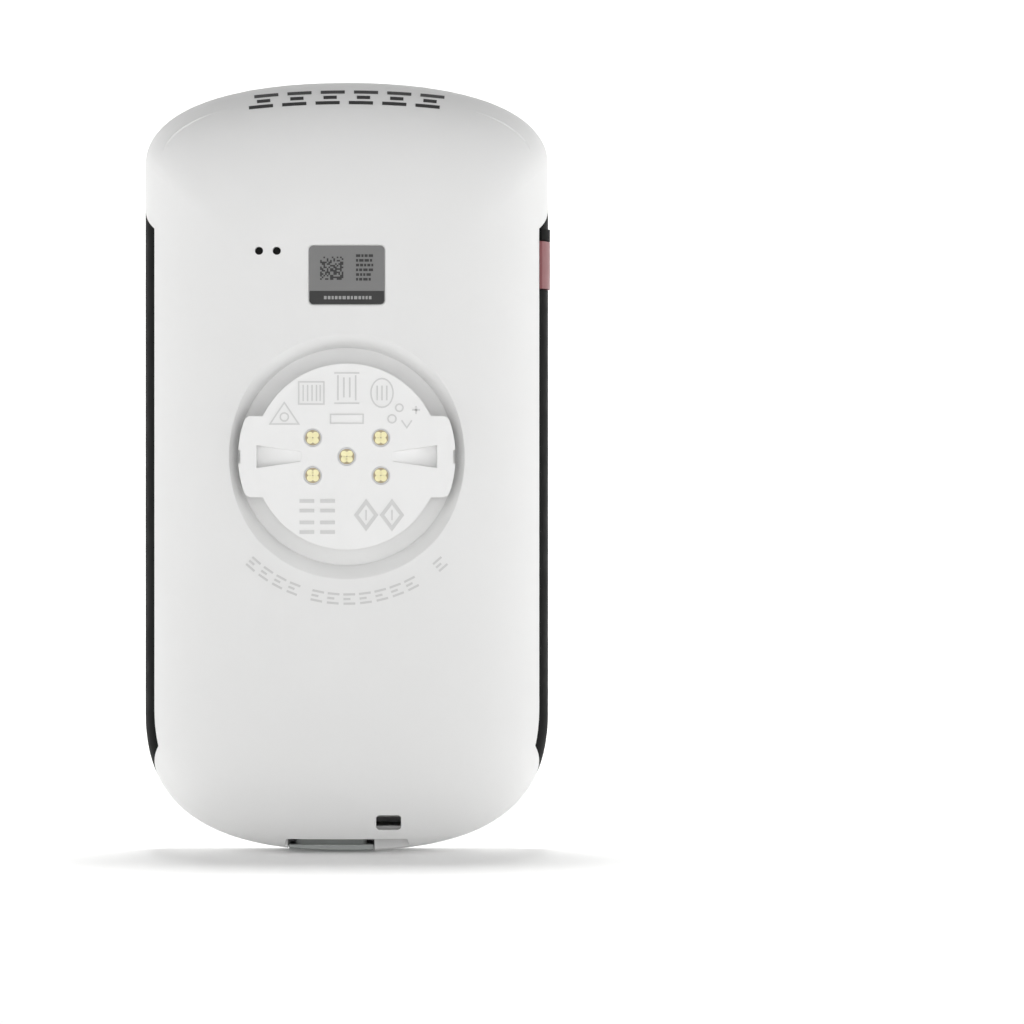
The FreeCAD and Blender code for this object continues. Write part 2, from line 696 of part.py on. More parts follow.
def chin_bezel():
    chin = ENVELOPE.common(chin_region(SEAM_GAP))
    chin = chin.cut(prism_outline(RAIL_WALL, 0, CHIN_WALL_Y))
    rib = ring_outline(RAIL_WALL + FIT_GAP, TONGUE_INSET + TONGUE_WALL, RIB_Y, CHIN_WALL_Y)
    rib = rib.common(box(-FAR, FAR, 0, FAR, BOTTOM_Z, CHIN_TOP - 2 * SEAM_GAP))
    hook_y = UNDER_LEDGE - HOOK_DEEP
    hook_low = CHIN_TOP - HOOK_HIGH
    hook = box(-HOOK_HALF, HOOK_HALF, hook_y, CHIN_WALL_Y, hook_low, CHIN_TOP - SEAM_GAP)
    hook_tip = box(-HOOK_HALF, HOOK_HALF, hook_y, UNDER_LEDGE - SEAM_GAP, hook_low, CHIN_TOP + HOOK_REACH)
    block = box(-BLOCK_HALF, BLOCK_HALF, BOTTOM_SEAM_Y + SEAM_GAP, CHIN_WALL_Y, BOTTOM_Z, PORT_LOW + 0.9)
    block = block.common(prism_outline(WALL, 0, FACE_Y))
    chin = fused([chin, rib, hook, hook_tip, block])
    chin = chin.cut(port_recess(0))
    port = box(PORT_X - PORT_WIDE / 2 - FIT_GAP, PORT_X + PORT_WIDE / 2 + FIT_GAP,
               PORT_Y - PORT_HIGH / 2 - FIT_GAP, PORT_Y + PORT_HIGH / 2 + FIT_GAP, PORT_LOW - 1, PORT_LOW + 2)
    chin = chin.cut(port)
    recess_0 = PORT_X - RECESS_WIDE / 2
    recess_1 = PORT_X + RECESS_WIDE / 2
    chin = chin.cut(rod_x(HINGE_Y, HINGE_Z, HINGE_R + 2 * SLIDE_GAP, recess_0, recess_1))
    chin = chin.cut(rod_x(HINGE_Y, HINGE_Z, PIN_R, recess_0 - PIN_IN - FIT_GAP, recess_1 + PIN_IN + FIT_GAP))
    cap_edge = box(recess_0, recess_1, BOTTOM_SEAM_Y - 1, PORT_Y, BOTTOM_Z - 5,
                   BOTTOM_Z + CAP_THICK + NAIL_HIGH)
    chin = chin.cut(cap_edge)
    for side in (1, -1):
        chin = chin.cut(capsule(side * CHIN_KEY_X, CHIN_KEY_LEVEL, CHIN_KEY_WIDE, CHIN_KEY_HIGH, 0,
                                FACE_Y + 1))
    save("chin_bezel", chin)


def mount_insert():
    insert = rod_y(0, 0, DISC_R, 0, NECK_Y).fuse(rod_y(0, 0, STEM_R, NECK_Y, INNER_FLOOR))
    tabs = box(-FAR, FAR, 0, TAB_THICK, -TAB_HALF, TAB_HALF).common(rod_y(0, 0, TAB_R, 0, TAB_THICK))
    tabs = tabs.makeFillet(TAB_CORNER, edges_along_y(tabs))
    insert = insert.fuse(tabs)
    for side in (1, -1):
        ramp = prism_z([(side * WEDGE_IN, 0), (side * WEDGE_OUT, WEDGE_DEEP), (side * WEDGE_OUT, -1),
                        (side * WEDGE_IN, -1)], -FAR, FAR)
        spread = prism_y([(side * WEDGE_IN, -WEDGE_HALF_IN), (side * WEDGE_OUT, -WEDGE_HALF_OUT),
                          (side * WEDGE_OUT, WEDGE_HALF_OUT), (side * WEDGE_IN, WEDGE_HALF_IN)], -1, 3)
        insert = insert.cut(ramp.common(spread))
        reach = side * TAB_R
        notch_in = reach - side * NOTCH_DEEP
        insert = insert.cut(box(min(notch_in, reach + side), max(notch_in, reach + side), -1, TAB_THICK + 1,
                                -NOTCH_HALF, NOTCH_HALF))
    groove = ring_y(STEM_R + SEAL_RING_OUT + PAD_GAP, STEM_R + SEAL_RING_IN - PAD_GAP,
                    NECK_Y - SEAL_RING_DEEP - 0.02, NECK_Y + 0.01)
    insert = insert.cut(groove)
    for x, z in pad_places():
        insert = insert.cut(rod_y(x, z, PAD_R + THREAD_GAP, -1, PAD_SUNK + PAD_THICK))
        insert = insert.cut(rod_y(x, z, PAD_SHANK_R + PAD_GAP, 0, INNER_FLOOR + 1))
    for x, z in insert_screw_places():
        insert = insert.cut(rod_y(x, z, SMALL_SCREW_R + THREAD_GAP, BACKPLATE_Y - INSERT_SCREW_DEEP,
                                  INNER_FLOOR + 1))
    save("mount_insert", insert)
    save("insert_seal", ring_y(STEM_R + SEAL_RING_OUT, STEM_R + SEAL_RING_IN, NECK_Y - SEAL_RING_DEEP,
                               NECK_Y))


def insert_fixings():
    clamp = ring_y(STEM_R + 1.6, CONTACT_BOARD_R + 0.5, BACKPLATE_Y, BACKPLATE_Y + BACKPLATE_THICK)
    screws = []
    for x, z in insert_screw_places():
        clamp = clamp.cut(rod_y(x, z, SMALL_SCREW_R + FIT_GAP, 0, FAR))
        screws.append(screw_y(x, z, SMALL_HEAD_R, BACKPLATE_Y + BACKPLATE_THICK, SMALL_HEAD, SMALL_SCREW_R,
                              BACKPLATE_Y - INSERT_SCREW_DEEP + FIT_GAP))
    save("insert_backplate", clamp)
    save("insert_screws", Part.makeCompound(screws))


def contacts():
    seal_y = INNER_FLOOR
    board_y = seal_y + CONTACT_SEAL
    board_top = board_y + BOARD_THICK
    pads = []
    seal = rod_y(0, 0, CONTACT_BOARD_R - 0.2, seal_y, board_y)
    board = rod_y(0, 0, CONTACT_BOARD_R, board_y, board_top)
    for x, z in pad_places():
        head = rod_y(x, z, PAD_R, PAD_SUNK, PAD_SUNK + PAD_THICK)
        pads.append(head.fuse(rod_y(x, z, PAD_SHANK_R, PAD_SUNK + PAD_THICK, board_top + PAD_SOLDER)))
        seal = seal.cut(rod_y(x, z, PAD_SHANK_R + PAD_GAP, 0, FAR))
        board = board.cut(rod_y(x, z, PAD_SHANK_R + PAD_GAP, 0, FAR))
    save("contact_pads", Part.makeCompound(pads))
    save("contact_seal", seal)
    save("contact_board", board)
    strip_y = BATTERY_Y - BATTERY_PAD - FIT_GAP - FLEX_THICK
    start_z = -CONTACT_BOARD_R + 1.6
    drop_z = BATTERY_BOTTOM - 1.0
    end_y = BOARD_BACK - PLUG_DEEP
    flex = prism_x([(board_top, start_z), (strip_y + FLEX_THICK, start_z), (strip_y + FLEX_THICK, drop_z),
                    (end_y, drop_z), (end_y, drop_z - FLEX_THICK), (strip_y, drop_z - FLEX_THICK),
                    (strip_y, start_z - FLEX_THICK), (board_top, start_z - FLEX_THICK)],
                   -FLEX_HALF, FLEX_HALF)
    save("contact_flex", flex)
    plug_high = drop_z + 0.2
    save("contact_connector", box(-FLEX_HALF - PLUG_OVERHANG, FLEX_HALF + PLUG_OVERHANG, end_y, BOARD_BACK,
                                  plug_high - PLUG_HIGH, plug_high))


def display():
    above_chin = box(-FAR, FAR, 0, FAR, CHIN_TOP + 0.3, FAR)
    glass = prism_outline(GLASS_MARGIN + FIT_GAP, GLASS_Y, GLASS_Y + GLASS_THICK).common(above_chin)
    save("cover_glass", glass)
    tape = prism_outline(GLASS_MARGIN + 0.5, LEDGE_Y, GLASS_Y).common(above_chin)
    tape = tape.cut(box(-WINDOW_HALF - 0.2, WINDOW_HALF + 0.2, 0, FAR, WINDOW_LOW - 0.2, WINDOW_HIGH + 0.2))
    save("glass_tape", tape)
    low = WINDOW_LOW + 2 * LCD_MARGIN
    high = WINDOW_HIGH - 2 * LCD_MARGIN
    save("touch_sensor", box(-LCD_HALF, LCD_HALF, TOUCH_Y, GLASS_Y, low, high))
    save("lcd_panel", box(-LCD_HALF, LCD_HALF, LCD_Y, TOUCH_Y, low, high))
    save("backlight", box(-LCD_HALF + 0.2, LCD_HALF - 0.2, BACKLIGHT_Y, LCD_Y, low + 0.2, high - 0.2))
    wide = WINDOW_HALF + CHASSIS_LAP
    tray_low = WINDOW_LOW - CHASSIS_LAP - 0.3
    tray_high = WINDOW_HIGH + CHASSIS_LAP + 0.3
    sheet_y = CHASSIS_Y + CHASSIS_THICK
    tray = plate(-wide, wide, CHASSIS_Y, UNDER_LEDGE, tray_low, tray_high, CHASSIS_CORNER)
    tray = tray.cut(plate(-wide + CHASSIS_THICK, wide - CHASSIS_THICK, sheet_y, FAR, tray_low + CHASSIS_THICK,
                          tray_high - CHASSIS_THICK, CHASSIS_CORNER - CHASSIS_THICK))
    tray = tray.cut(box(-DISPLAY_PLUG_HALF, DISPLAY_PLUG_HALF, sheet_y, FAR, tray_low - 1, tray_low + 1))
    for x, z in board_screw_places():
        tray = tray.fuse(rod_y(x, z, SMALL_HEAD_R, BOARD_FRONT, CHASSIS_Y + CHASSIS_THICK / 2))
        tray = tray.cut(rod_y(x, z, SMALL_SCREW_R + THREAD_GAP, 0, sheet_y + 0.2))
    save("display_chassis", tray)
    plug_low = CHIN_TOP + 2.2
    plug_high = tray_low - 0.3
    flex_z = (plug_low + plug_high) / 2
    plug_y = BOARD_FRONT + DISPLAY_PLUG_THICK
    save("display_connector", box(-DISPLAY_PLUG_HALF, DISPLAY_PLUG_HALF, BOARD_FRONT, plug_y, plug_low,
                                  plug_high))
    strip_y = LCD_Y + 0.1
    flex = prism_x([(strip_y, low), (strip_y + FLEX_THICK, low), (strip_y + FLEX_THICK, flex_z - FLEX_THICK),
                    (plug_y, flex_z - FLEX_THICK), (plug_y, flex_z), (strip_y, flex_z)],
                   -DISPLAY_FLEX_HALF, DISPLAY_FLEX_HALF)
    save("display_flex", flex)


def main_board():
    board = plate(-BOARD_HALF, BOARD_HALF, BOARD_BACK, BOARD_FRONT, CHIN_TOP - 3, BOARD_HIGH,
                  BOARD_CORNER)
    tail = plate(-BOARD_TAIL_HALF, BOARD_TAIL_HALF, BOARD_BACK, BOARD_FRONT, BOARD_LOW, CHIN_TOP,
                 BOARD_CORNER)
    board = board.fuse(tail)
    board = board.cut(box(PORT_X - PORT_WIDE / 2 - FIT_GAP, PORT_X + PORT_WIDE / 2 + FIT_GAP, 0, FAR,
                          BOTTOM_Z, PORT_LOW + PORT_LONG + FIT_GAP))
    screws = []
    for x, z in board_screw_places():
        board = board.cut(rod_y(x, z, SMALL_SCREW_R + FIT_GAP, 0, FAR))
        head = rod_y(x, z, SMALL_HEAD_R, BOARD_BACK - SMALL_HEAD, BOARD_BACK)
        socket = rod_y(x, z, SMALL_HEAD_R * SOCKET_SHARE, 0, BOARD_BACK - SMALL_HEAD / 2)
        shank = rod_y(x, z, SMALL_SCREW_R, BOARD_BACK, CHASSIS_Y + CHASSIS_THICK)
        screws.append(head.cut(socket).fuse(shank))
    save("main_board", board)
    save("board_screws", Part.makeCompound(screws))


def on_board(x0, x1, tall, z0, z1):
    # A component standing on the back of the main board.
    return box(x0, x1, BOARD_BACK - tall, BOARD_BACK, z0, z1)


def shield_can(x0, x1, z0, z1):
    return on_board(x0, x1, SHIELD_THICK, z0, z1).cut(
        on_board(x0 + SHEET, x1 - SHEET, SHIELD_THICK - SHEET, z0 + SHEET, z1 - SHEET))


def board_components():
    high = BOARD_HIGH - 0.5
    half = ANTENNA_SIZE / 2
    save("gnss_antenna", on_board(-half, half, ANTENNA_THICK, ANTENNA_LOW, high))
    module_x = -half - 1.5
    save("wireless_module", on_board(module_x - WIRELESS_WIDE, module_x, SHIELD_THICK,
                                     high - 1.0 - WIRELESS_HIGH, high - 1.0))
    save("wireless_antenna", box(WIRELESS_ANTENNA[0], WIRELESS_ANTENNA[1], BOARD_BACK - 0.4, BOARD_FRONT,
                                 BOARD_HIGH, BOARD_HIGH + WIRELESS_ANTENNA_HIGH))
    save("buzzer", rod_y(half + 3.2 + BUZZER_R, high - BUZZER_R - 0.3, BUZZER_R, BOARD_BACK - BUZZER_THICK,
                         BOARD_BACK))
    barometer_x = -half - 8.0
    save("barometer", on_board(barometer_x - BAROMETER_SIZE, barometer_x, THIN_CHIP,
                               ANTENNA_LOW - 0.2 - BAROMETER_SIZE, ANTENNA_LOW - 0.2))
    can_high = BATTERY_BOTTOM - 3.5
    can_low = can_high - SHIELD_HIGH
    chip_low = can_low + 1.5
    save("processor_shield", shield_can(SHIELD_XS[0], SHIELD_XS[1], can_low, can_high))
    processor_x = SHIELD_XS[0] + 1.0
    save("processor", on_board(processor_x, processor_x + PROCESSOR_SIZE, CHIP_THICK, chip_low,
                               chip_low + PROCESSOR_SIZE))
    memory_x = SHIELD_XS[1] - 1.0
    save("memory_chip", on_board(memory_x - MEMORY_WIDE, memory_x, 1.0, chip_low, chip_low + MEMORY_HIGH))
    save("power_chip", on_board(POWER_CHIP_X, POWER_CHIP_X + POWER_CHIP_SIZE, THIN_CHIP,
                                can_high - 1.0 - POWER_CHIP_SIZE, can_high - 1.0))
    coils = []
    for i in range(3):
        coil_x = COIL_X + COIL_PITCH * i
        coils.append(on_board(coil_x, coil_x + COIL_SIZE, CHIP_THICK, can_high - 1.1 - COIL_SIZE,
                              can_high - 1.1))
    save("inductors", Part.makeCompound(coils))


def battery():
    bottom = BATTERY_BOTTOM
    save("battery_pad", box(-BATTERY_HALF + PAD_SHORT, BATTERY_HALF - PAD_SHORT, BATTERY_Y - BATTERY_PAD,
                            BATTERY_Y, bottom + 0.4, BATTERY_HIGH - 1))
    save("battery", plate(-BATTERY_HALF, BATTERY_HALF, BATTERY_Y, BATTERY_FRONT, bottom, BATTERY_HIGH,
                          BATTERY_CORNER))
    top = BATTERY_HIGH + BATTERY_BOARD
    short = PAD_SHORT + BATTERY_CORNER
    save("battery_board", box(-BATTERY_HALF + short, BATTERY_HALF - short, BATTERY_Y + 0.5,
                              BATTERY_FRONT - 0.5, BATTERY_HIGH, top))
    socket_low = ANTENNA_LOW - 0.9
    socket_x = ANTENNA_SIZE / 2 + 3.0
    save("battery_connector", on_board(socket_x, socket_x + SOCKET_WIDE, SOCKET_THICK, socket_low,
                                       socket_low + SOCKET_HIGH))
    wires = []
    for side in (-1, 1):
        x = socket_x + SOCKET_WIDE / 2 + side * LEAD_PITCH / 2
        wires.append(rod_z(x, BOARD_BACK - 1.1, LEAD_R, top, socket_low))
    save("battery_lead", Part.makeCompound(wires))


def charging_port():
    half = PORT_WIDE / 2
    y0 = PORT_Y - PORT_HIGH / 2
    y1 = PORT_Y + PORT_HIGH / 2
    back = PORT_LOW + PORT_LONG
    body = bottom_slab(PORT_X - half, PORT_X + half, y0, y1, PORT_LOW, back, PORT_HIGH / 2 - 0.05)
    hollow = bottom_slab(PORT_X - half + PORT_SHEET, PORT_X + half - PORT_SHEET, y0 + PORT_SHEET,
                         y1 - PORT_SHEET, PORT_LOW - 1, back - PORT_BACK, PORT_HIGH / 2 - PORT_SHEET - 0.05)
    body = body.cut(hollow)
    save("usb_port", body)
    save("usb_tongue", box(PORT_X - TONGUE_PLUG_HALF, PORT_X + TONGUE_PLUG_HALF,
                           PORT_Y - TONGUE_PLUG_THICK / 2, PORT_Y + TONGUE_PLUG_THICK / 2,
                           PORT_LOW + 0.5, back - PORT_BACK))
    seal_low = PORT_LOW + 0.95
    seal = bottom_slab(PORT_X - half - 0.9, PORT_X + half + 0.9, y0 - 0.8, y1 + 0.8, seal_low,
                       seal_low + PORT_SEAL, 1.0)
    seal = seal.cut(body).cut(hollow)
    save("usb_seal", seal)


def weather_cap():
    x0 = PORT_X - RECESS_WIDE / 2 + SLIDE_GAP
    x1 = PORT_X + RECESS_WIDE / 2 - SLIDE_GAP
    leaf = box(x0, x1, BOTTOM_SEAM_Y + SLIDE_GAP, HINGE_Y, BOTTOM_Z - 1, BOTTOM_Z + CAP_THICK)
    leaf = leaf.common(ENVELOPE)
    barrel = rod_x(HINGE_Y, HINGE_Z, HINGE_R, x0, x1)
    plug = bottom_slab(x0 + 0.9, x1 - 0.9, PORT_Y - RECESS_HIGH / 2 + 0.75, PORT_Y + RECESS_HIGH / 2 - 1.2,
                       BOTTOM_Z + CAP_THICK / 2, BOTTOM_Z + CAP_THICK + CAP_PLUG, 0.9)
    cap = fused([leaf, barrel, plug]).cut(rod_x(HINGE_Y, HINGE_Z, PIN_R + SEAM_GAP, x0 - 1, x1 + 1))
    save("weather_cap", cap)
    save("weather_cap_pin", rod_x(HINGE_Y, HINGE_Z, PIN_R, x0 - SLIDE_GAP - PIN_IN, x1 + SLIDE_GAP + PIN_IN))


def power_key():
    low = POWER_Z - POWER_HALF
    high = POWER_Z + POWER_HALF
    cap = PROUD_FORM.common(box(HALF_W - RAIL_WALL - 0.2, HALF_W + 1, KEY_Y0, KEY_Y1, low, high))
    chamfer = prism_y([(HALF_W - 0.5, low - 1), (HALF_W + 2, low - 1), (HALF_W + 2, low + KEY_CHAMFER)],
                      0, FAR)
    cap = cap.cut(chamfer)
    flange_x = HALF_W - RAIL_WALL - FIT_GAP
    flange = box(flange_x - KEY_FLANGE, flange_x, KEY_Y0 + 1.1, RIB_Y - FIT_GAP, low - KEY_LIP,
                 high + KEY_LIP)
    stem_x = flange_x - KEY_FLANGE - 1.0
    stem = rod_x(KEY_Y, POWER_Z, KEY_STEM_R, stem_x, flange_x)
    save("power_key", fused([cap, flange, stem]))
    seal_x = HALF_W - TONGUE_INSET - TONGUE_WALL
    back_x = flange_x - KEY_FLANGE - KEY_TRAVEL - FIT_GAP
    seal_y = SIDE_SEAM_Y + 0.75
    seal = box(back_x - KEY_SEAL_WALL, seal_x, seal_y, TONGUE_TOP, low - KEY_SEAL_WING, high + KEY_SEAL_WING)
    seal = seal.cut(box(back_x, seal_x + 1, seal_y + 0.3, TONGUE_TOP + 1, low - 1.0, high + 1.0))
    seal = seal.cut(rod_x(KEY_Y, POWER_Z, KEY_STEM_R + SLIDE_GAP, back_x - 2, seal_x + 1))
    save("power_key_seal", seal)
    switch_x = BOARD_HALF + SWITCH_DEEP
    plunger_in = switch_x - 0.3
    case = box(BOARD_HALF - 1.0, switch_x, KEY_Y - 1.5, BOARD_BACK, POWER_Z - SWITCH_WIDE / 2,
               POWER_Z + SWITCH_WIDE / 2)
    case = case.cut(rod_x(KEY_Y, POWER_Z, SWITCH_R + SLIDE_GAP, plunger_in - KEY_TRAVEL - SLIDE_GAP,
                          switch_x + 1))
    save("power_switch", case)
    save("power_switch_plunger", rod_x(KEY_Y, POWER_Z, SWITCH_R, plunger_in, stem_x))


def chin_keys():
    flange_y = CHIN_WALL_Y - SEAM_GAP
    cap_y = flange_y - CHIN_FLANGE
    case_top = BOARD_FRONT + CHIN_SWITCH_THICK
    seal_y = case_top + CHIN_SEAL_GAP
    stem_y = seal_y + CHIN_SEAL_GAP
    seal_half = CHIN_KEY_X + CHIN_KEY_WIDE / 2 + 1.4
    seal_low = CHIN_KEY_LEVEL - CHIN_KEY_HIGH / 2 - 1.2
    seal_high = CHIN_KEY_LEVEL + CHIN_KEY_HIGH / 2 + 1.1
    plunger_y = case_top - 0.1
    seal = box(-seal_half, seal_half, seal_y, CHIN_WALL_Y, seal_low, seal_high)
    seal = seal.common(prism_outline(TONGUE_INSET + TONGUE_WALL + FIT_GAP, 0, FACE_Y))
    seal = seal.cut(box(-seal_half + 0.5, seal_half - 0.5, seal_y + CHIN_SEAL_WALL, FAR, seal_low + 0.4,
                        seal_high - 0.4))
    for side, name in ((1, "start_key"), (-1, "lap_key")):
        x = side * CHIN_KEY_X
        cap = capsule(x, CHIN_KEY_LEVEL, CHIN_KEY_WIDE - 2 * SLIDE_GAP, CHIN_KEY_HIGH - 2 * SLIDE_GAP,
                      cap_y, DEPTH)
        flange = capsule(x, CHIN_KEY_LEVEL, CHIN_KEY_WIDE + KEY_FLANGE, CHIN_KEY_HIGH + KEY_FLANGE,
                         cap_y, flange_y)
        stem = rod_y(x, CHIN_KEY_LEVEL, CHIN_STEM_R, stem_y, flange_y)
        save(name, fused([cap, flange, stem]))
        half = SWITCH_WIDE / 2
        case = box(x - half, x + half, BOARD_FRONT, case_top, CHIN_KEY_LEVEL - half, CHIN_KEY_LEVEL + half)
        case = case.cut(rod_y(x, CHIN_KEY_LEVEL, CHIN_SWITCH_R + 0.2, plunger_y - KEY_TRAVEL - SEAM_GAP, FAR))
        save(name.replace("key", "switch"), case)
        plunger = rod_y(x, CHIN_KEY_LEVEL, CHIN_SWITCH_R, plunger_y, stem_y)
        save(name.replace("key", "switch_plunger"), plunger)
        seal = seal.cut(rod_y(x, CHIN_KEY_LEVEL, CHIN_STEM_R + SLIDE_GAP, 0, FAR))
    save("chin_key_seal", seal)


def case_fixings():
    ring = ring_outline(TONGUE_INSET + 0.05, TONGUE_INSET + TONGUE_WALL - 0.05, TONGUE_TOP,
                        TONGUE_TOP + SEAL_HEIGHT)
    block_room = BLOCK_HALF + BLOCK_GAP + 0.2
    ring = ring.cut(box(-block_room, block_room, 0, FAR, BOTTOM_Z, BOTTOM_Z + BLOCK_HIGH))
    ring = ring.cut(key_clearance())
    screws = []
    for x, z in case_screw_places():
        ring = ring.cut(rod_y(x, z, CASE_SCREW_R + 2 * SLIDE_GAP, 0, FAR))
        screws.append(screw_y(x, z, CASE_HEAD_R, UNDER_LEDGE - HEAD_SUNK, CASE_HEAD, CASE_SCREW_R,
                              TONGUE_TOP - CASE_SCREW_IN))
    save("case_seal", ring)
    save("case_screws", Part.makeCompound(screws))


def back_trim():
    label_y = BACK_Y + LABEL_SUNK
    save("rating_label", plate(-LABEL_HALF, LABEL_HALF, label_y, label_y + LABEL_THICK, LABEL_LOW, LABEL_HIGH,
                               LABEL_CORNER))
    seat_y = BACK_Y + WALL + MEMBRANE_SEAT
    save("vent_membrane", box(min(VENT_XS) - MEMBRANE_MARGIN, max(VENT_XS) + MEMBRANE_MARGIN, seat_y,
                              seat_y + MEMBRANE_THICK, VENT_Z - MEMBRANE_MARGIN, VENT_Z + MEMBRANE_MARGIN))


os.makedirs("parts", exist_ok=True)
rear_shell()
front_frame()
chin_bezel()
mount_insert()
insert_fixings()
contacts()
display()
main_board()
board_components()
battery()
charging_port()
weather_cap()
power_key()
chin_keys()
case_fixings()
back_trim()
for name, shape in NODES.items():
    print(name, shape.isValid(), len(shape.Solids), round(shape.Volume, 1))
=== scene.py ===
import json
import math
import random

import bpy
import bmesh
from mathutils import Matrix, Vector


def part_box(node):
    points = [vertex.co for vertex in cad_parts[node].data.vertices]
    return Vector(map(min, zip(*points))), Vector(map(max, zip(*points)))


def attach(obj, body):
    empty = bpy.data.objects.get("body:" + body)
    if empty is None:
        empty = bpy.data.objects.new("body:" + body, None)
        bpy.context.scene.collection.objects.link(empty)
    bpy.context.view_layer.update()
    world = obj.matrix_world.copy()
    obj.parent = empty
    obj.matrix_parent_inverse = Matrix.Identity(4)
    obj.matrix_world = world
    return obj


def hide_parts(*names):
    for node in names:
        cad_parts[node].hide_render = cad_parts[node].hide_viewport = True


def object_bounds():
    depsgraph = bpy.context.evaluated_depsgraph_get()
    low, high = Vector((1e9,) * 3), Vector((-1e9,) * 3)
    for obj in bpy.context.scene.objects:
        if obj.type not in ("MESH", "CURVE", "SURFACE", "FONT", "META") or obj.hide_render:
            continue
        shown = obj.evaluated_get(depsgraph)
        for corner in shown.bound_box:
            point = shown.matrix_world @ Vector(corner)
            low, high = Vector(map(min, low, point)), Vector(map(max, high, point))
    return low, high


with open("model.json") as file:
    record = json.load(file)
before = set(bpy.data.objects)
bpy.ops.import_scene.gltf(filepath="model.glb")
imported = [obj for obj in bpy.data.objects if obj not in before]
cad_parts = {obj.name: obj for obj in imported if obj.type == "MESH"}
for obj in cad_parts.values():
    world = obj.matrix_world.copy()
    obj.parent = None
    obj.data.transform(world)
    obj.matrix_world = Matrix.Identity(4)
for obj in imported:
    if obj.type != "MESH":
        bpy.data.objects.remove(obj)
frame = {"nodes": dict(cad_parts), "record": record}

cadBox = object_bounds()
nodes = frame["nodes"]
mm = 0.001
body = "case"
flatWithin = 0.001 * mm


# Materials.

def newMaterial(name):
    mat = bpy.data.materials.new(name)
    mat.use_nodes = True
    return mat, mat.node_tree, mat.node_tree.nodes["Principled BSDF"]


def objectNoise(tree, scale, detail=2.0, stretch=(1, 1, 1)):
    coord = tree.nodes.new("ShaderNodeTexCoord")
    mapping = tree.nodes.new("ShaderNodeMapping")
    mapping.inputs["Scale"].default_value = stretch
    tex = tree.nodes.new("ShaderNodeTexNoise")
    tex.inputs["Scale"].default_value = scale
    tex.inputs["Detail"].default_value = detail
    tree.links.new(coord.outputs["Object"], mapping.inputs["Vector"])
    tree.links.new(mapping.outputs["Vector"], tex.inputs["Vector"])
    return tex.outputs["Fac"]


def spread(tree, source, low, high):
    node = tree.nodes.new("ShaderNodeMapRange")
    node.inputs["From Min"].default_value = 0.3
    node.inputs["From Max"].default_value = 0.7
    node.inputs["To Min"].default_value = low
    node.inputs["To Max"].default_value = high
    tree.links.new(source, node.inputs["Value"])
    return node.outputs["Result"]


def mixColor(tree, factor, first, second):
    node = tree.nodes.new("ShaderNodeMix")
    node.data_type = "RGBA"
    tree.links.new(factor, node.inputs["Factor"])
    pair = [socket for socket in node.inputs if socket.type == "RGBA"]
    pair[0].default_value = (*first, 1)
    pair[1].default_value = (*second, 1)
    return [socket for socket in node.outputs if socket.type == "RGBA"][0]


def addBump(tree, shader, height, strength, distance):
    node = tree.nodes.new("ShaderNodeBump")
    node.inputs["Strength"].default_value = strength
    node.inputs["Distance"].default_value = distance
    tree.links.new(height, node.inputs["Height"])
    tree.links.new(node.outputs["Normal"], shader.inputs["Normal"])


def moulded(name, color, shade, rough, roughSpread, grain=9000, grainDepth=0.010,
            edgeRound=0.0, shine=0.5):
    # Moulded plastic or rubber: spark-eroded grain, slight flow mottling, uneven gloss.
    mat, tree, shader = newMaterial(name)
    tree.links.new(mixColor(tree, objectNoise(tree, 90, 3), color, shade), shader.inputs["Base Color"])
    tree.links.new(spread(tree, objectNoise(tree, 420, 4), rough, rough + roughSpread),
                   shader.inputs["Roughness"])
    addBump(tree, shader, objectNoise(tree, grain), 0.3, grainDepth * mm)
    shader.inputs["Specular IOR Level"].default_value = shine
    if edgeRound:
        soft = tree.nodes.new("ShaderNodeBevel")
        soft.samples = 4
        soft.inputs["Radius"].default_value = edgeRound * mm
        bump = [node for node in tree.nodes if node.bl_idname == "ShaderNodeBump"][0]
        tree.links.new(soft.outputs["Normal"], bump.inputs["Normal"])
    return mat


def metal(name, color, shade, rough, stretch=(1, 1, 1)):
    # Plated or brushed metal: fine streaks in colour and gloss.
    mat, tree, shader = newMaterial(name)
    fine = objectNoise(tree, 2500, 3, stretch)
    tree.links.new(mixColor(tree, fine, color, shade), shader.inputs["Base Color"])
    tree.links.new(spread(tree, fine, rough, rough + 0.15), shader.inputs["Roughness"])
    addBump(tree, shader, fine, 0.2, 0.004 * mm)
    shader.inputs["Metallic"].default_value = 1.0
    return mat


def grey(level):
    return (level, level, level * 0.995)


whitePlastic = moulded("whitePlastic", grey(0.80), grey(0.785), 0.52, 0.08, edgeRound=0.12, shine=0.2)
insertPlastic = moulded("insertPlastic", grey(0.86), grey(0.845), 0.40, 0.08, edgeRound=0.12, shine=0.3)
# The raised marks are the shell's own white plastic; this darker grey is painted shade, standing for the
# shadow along their edges.
markPlastic = moulded("markPlastic", grey(0.62), grey(0.59), 0.45, 0.1)
# The disc's raised marks are its own white plastic; this darker grey is painted shade along their edges.
discMarkPlastic = moulded("discMarkPlastic", grey(0.66), grey(0.63), 0.4, 0.1)
blackPlastic = moulded("blackPlastic", grey(0.005), grey(0.008), 0.5, 0.1, edgeRound=0.1, shine=0.03)
redPlastic = moulded("redPlastic", (0.20, 0.055, 0.06), (0.24, 0.07, 0.075), 0.35, 0.1, edgeRound=0.1)
greyRubber = moulded("greyRubber", (0.42, 0.44, 0.43), (0.38, 0.4, 0.39), 0.6, 0.12, grain=5000)
blackRubber = moulded("blackRubber", grey(0.02), grey(0.032), 0.65, 0.15, grain=5000)
keyRubber = moulded("keyRubber", grey(0.03), grey(0.042), 0.55, 0.12, edgeRound=0.15)
glassBlack = moulded("glassBlack", grey(0.004), grey(0.006), 0.04, 0.03, grain=300, grainDepth=0.001)
screenDark = moulded("screenDark", (0.016, 0.019, 0.021), (0.02, 0.023, 0.025), 0.08, 0.04, grain=300)
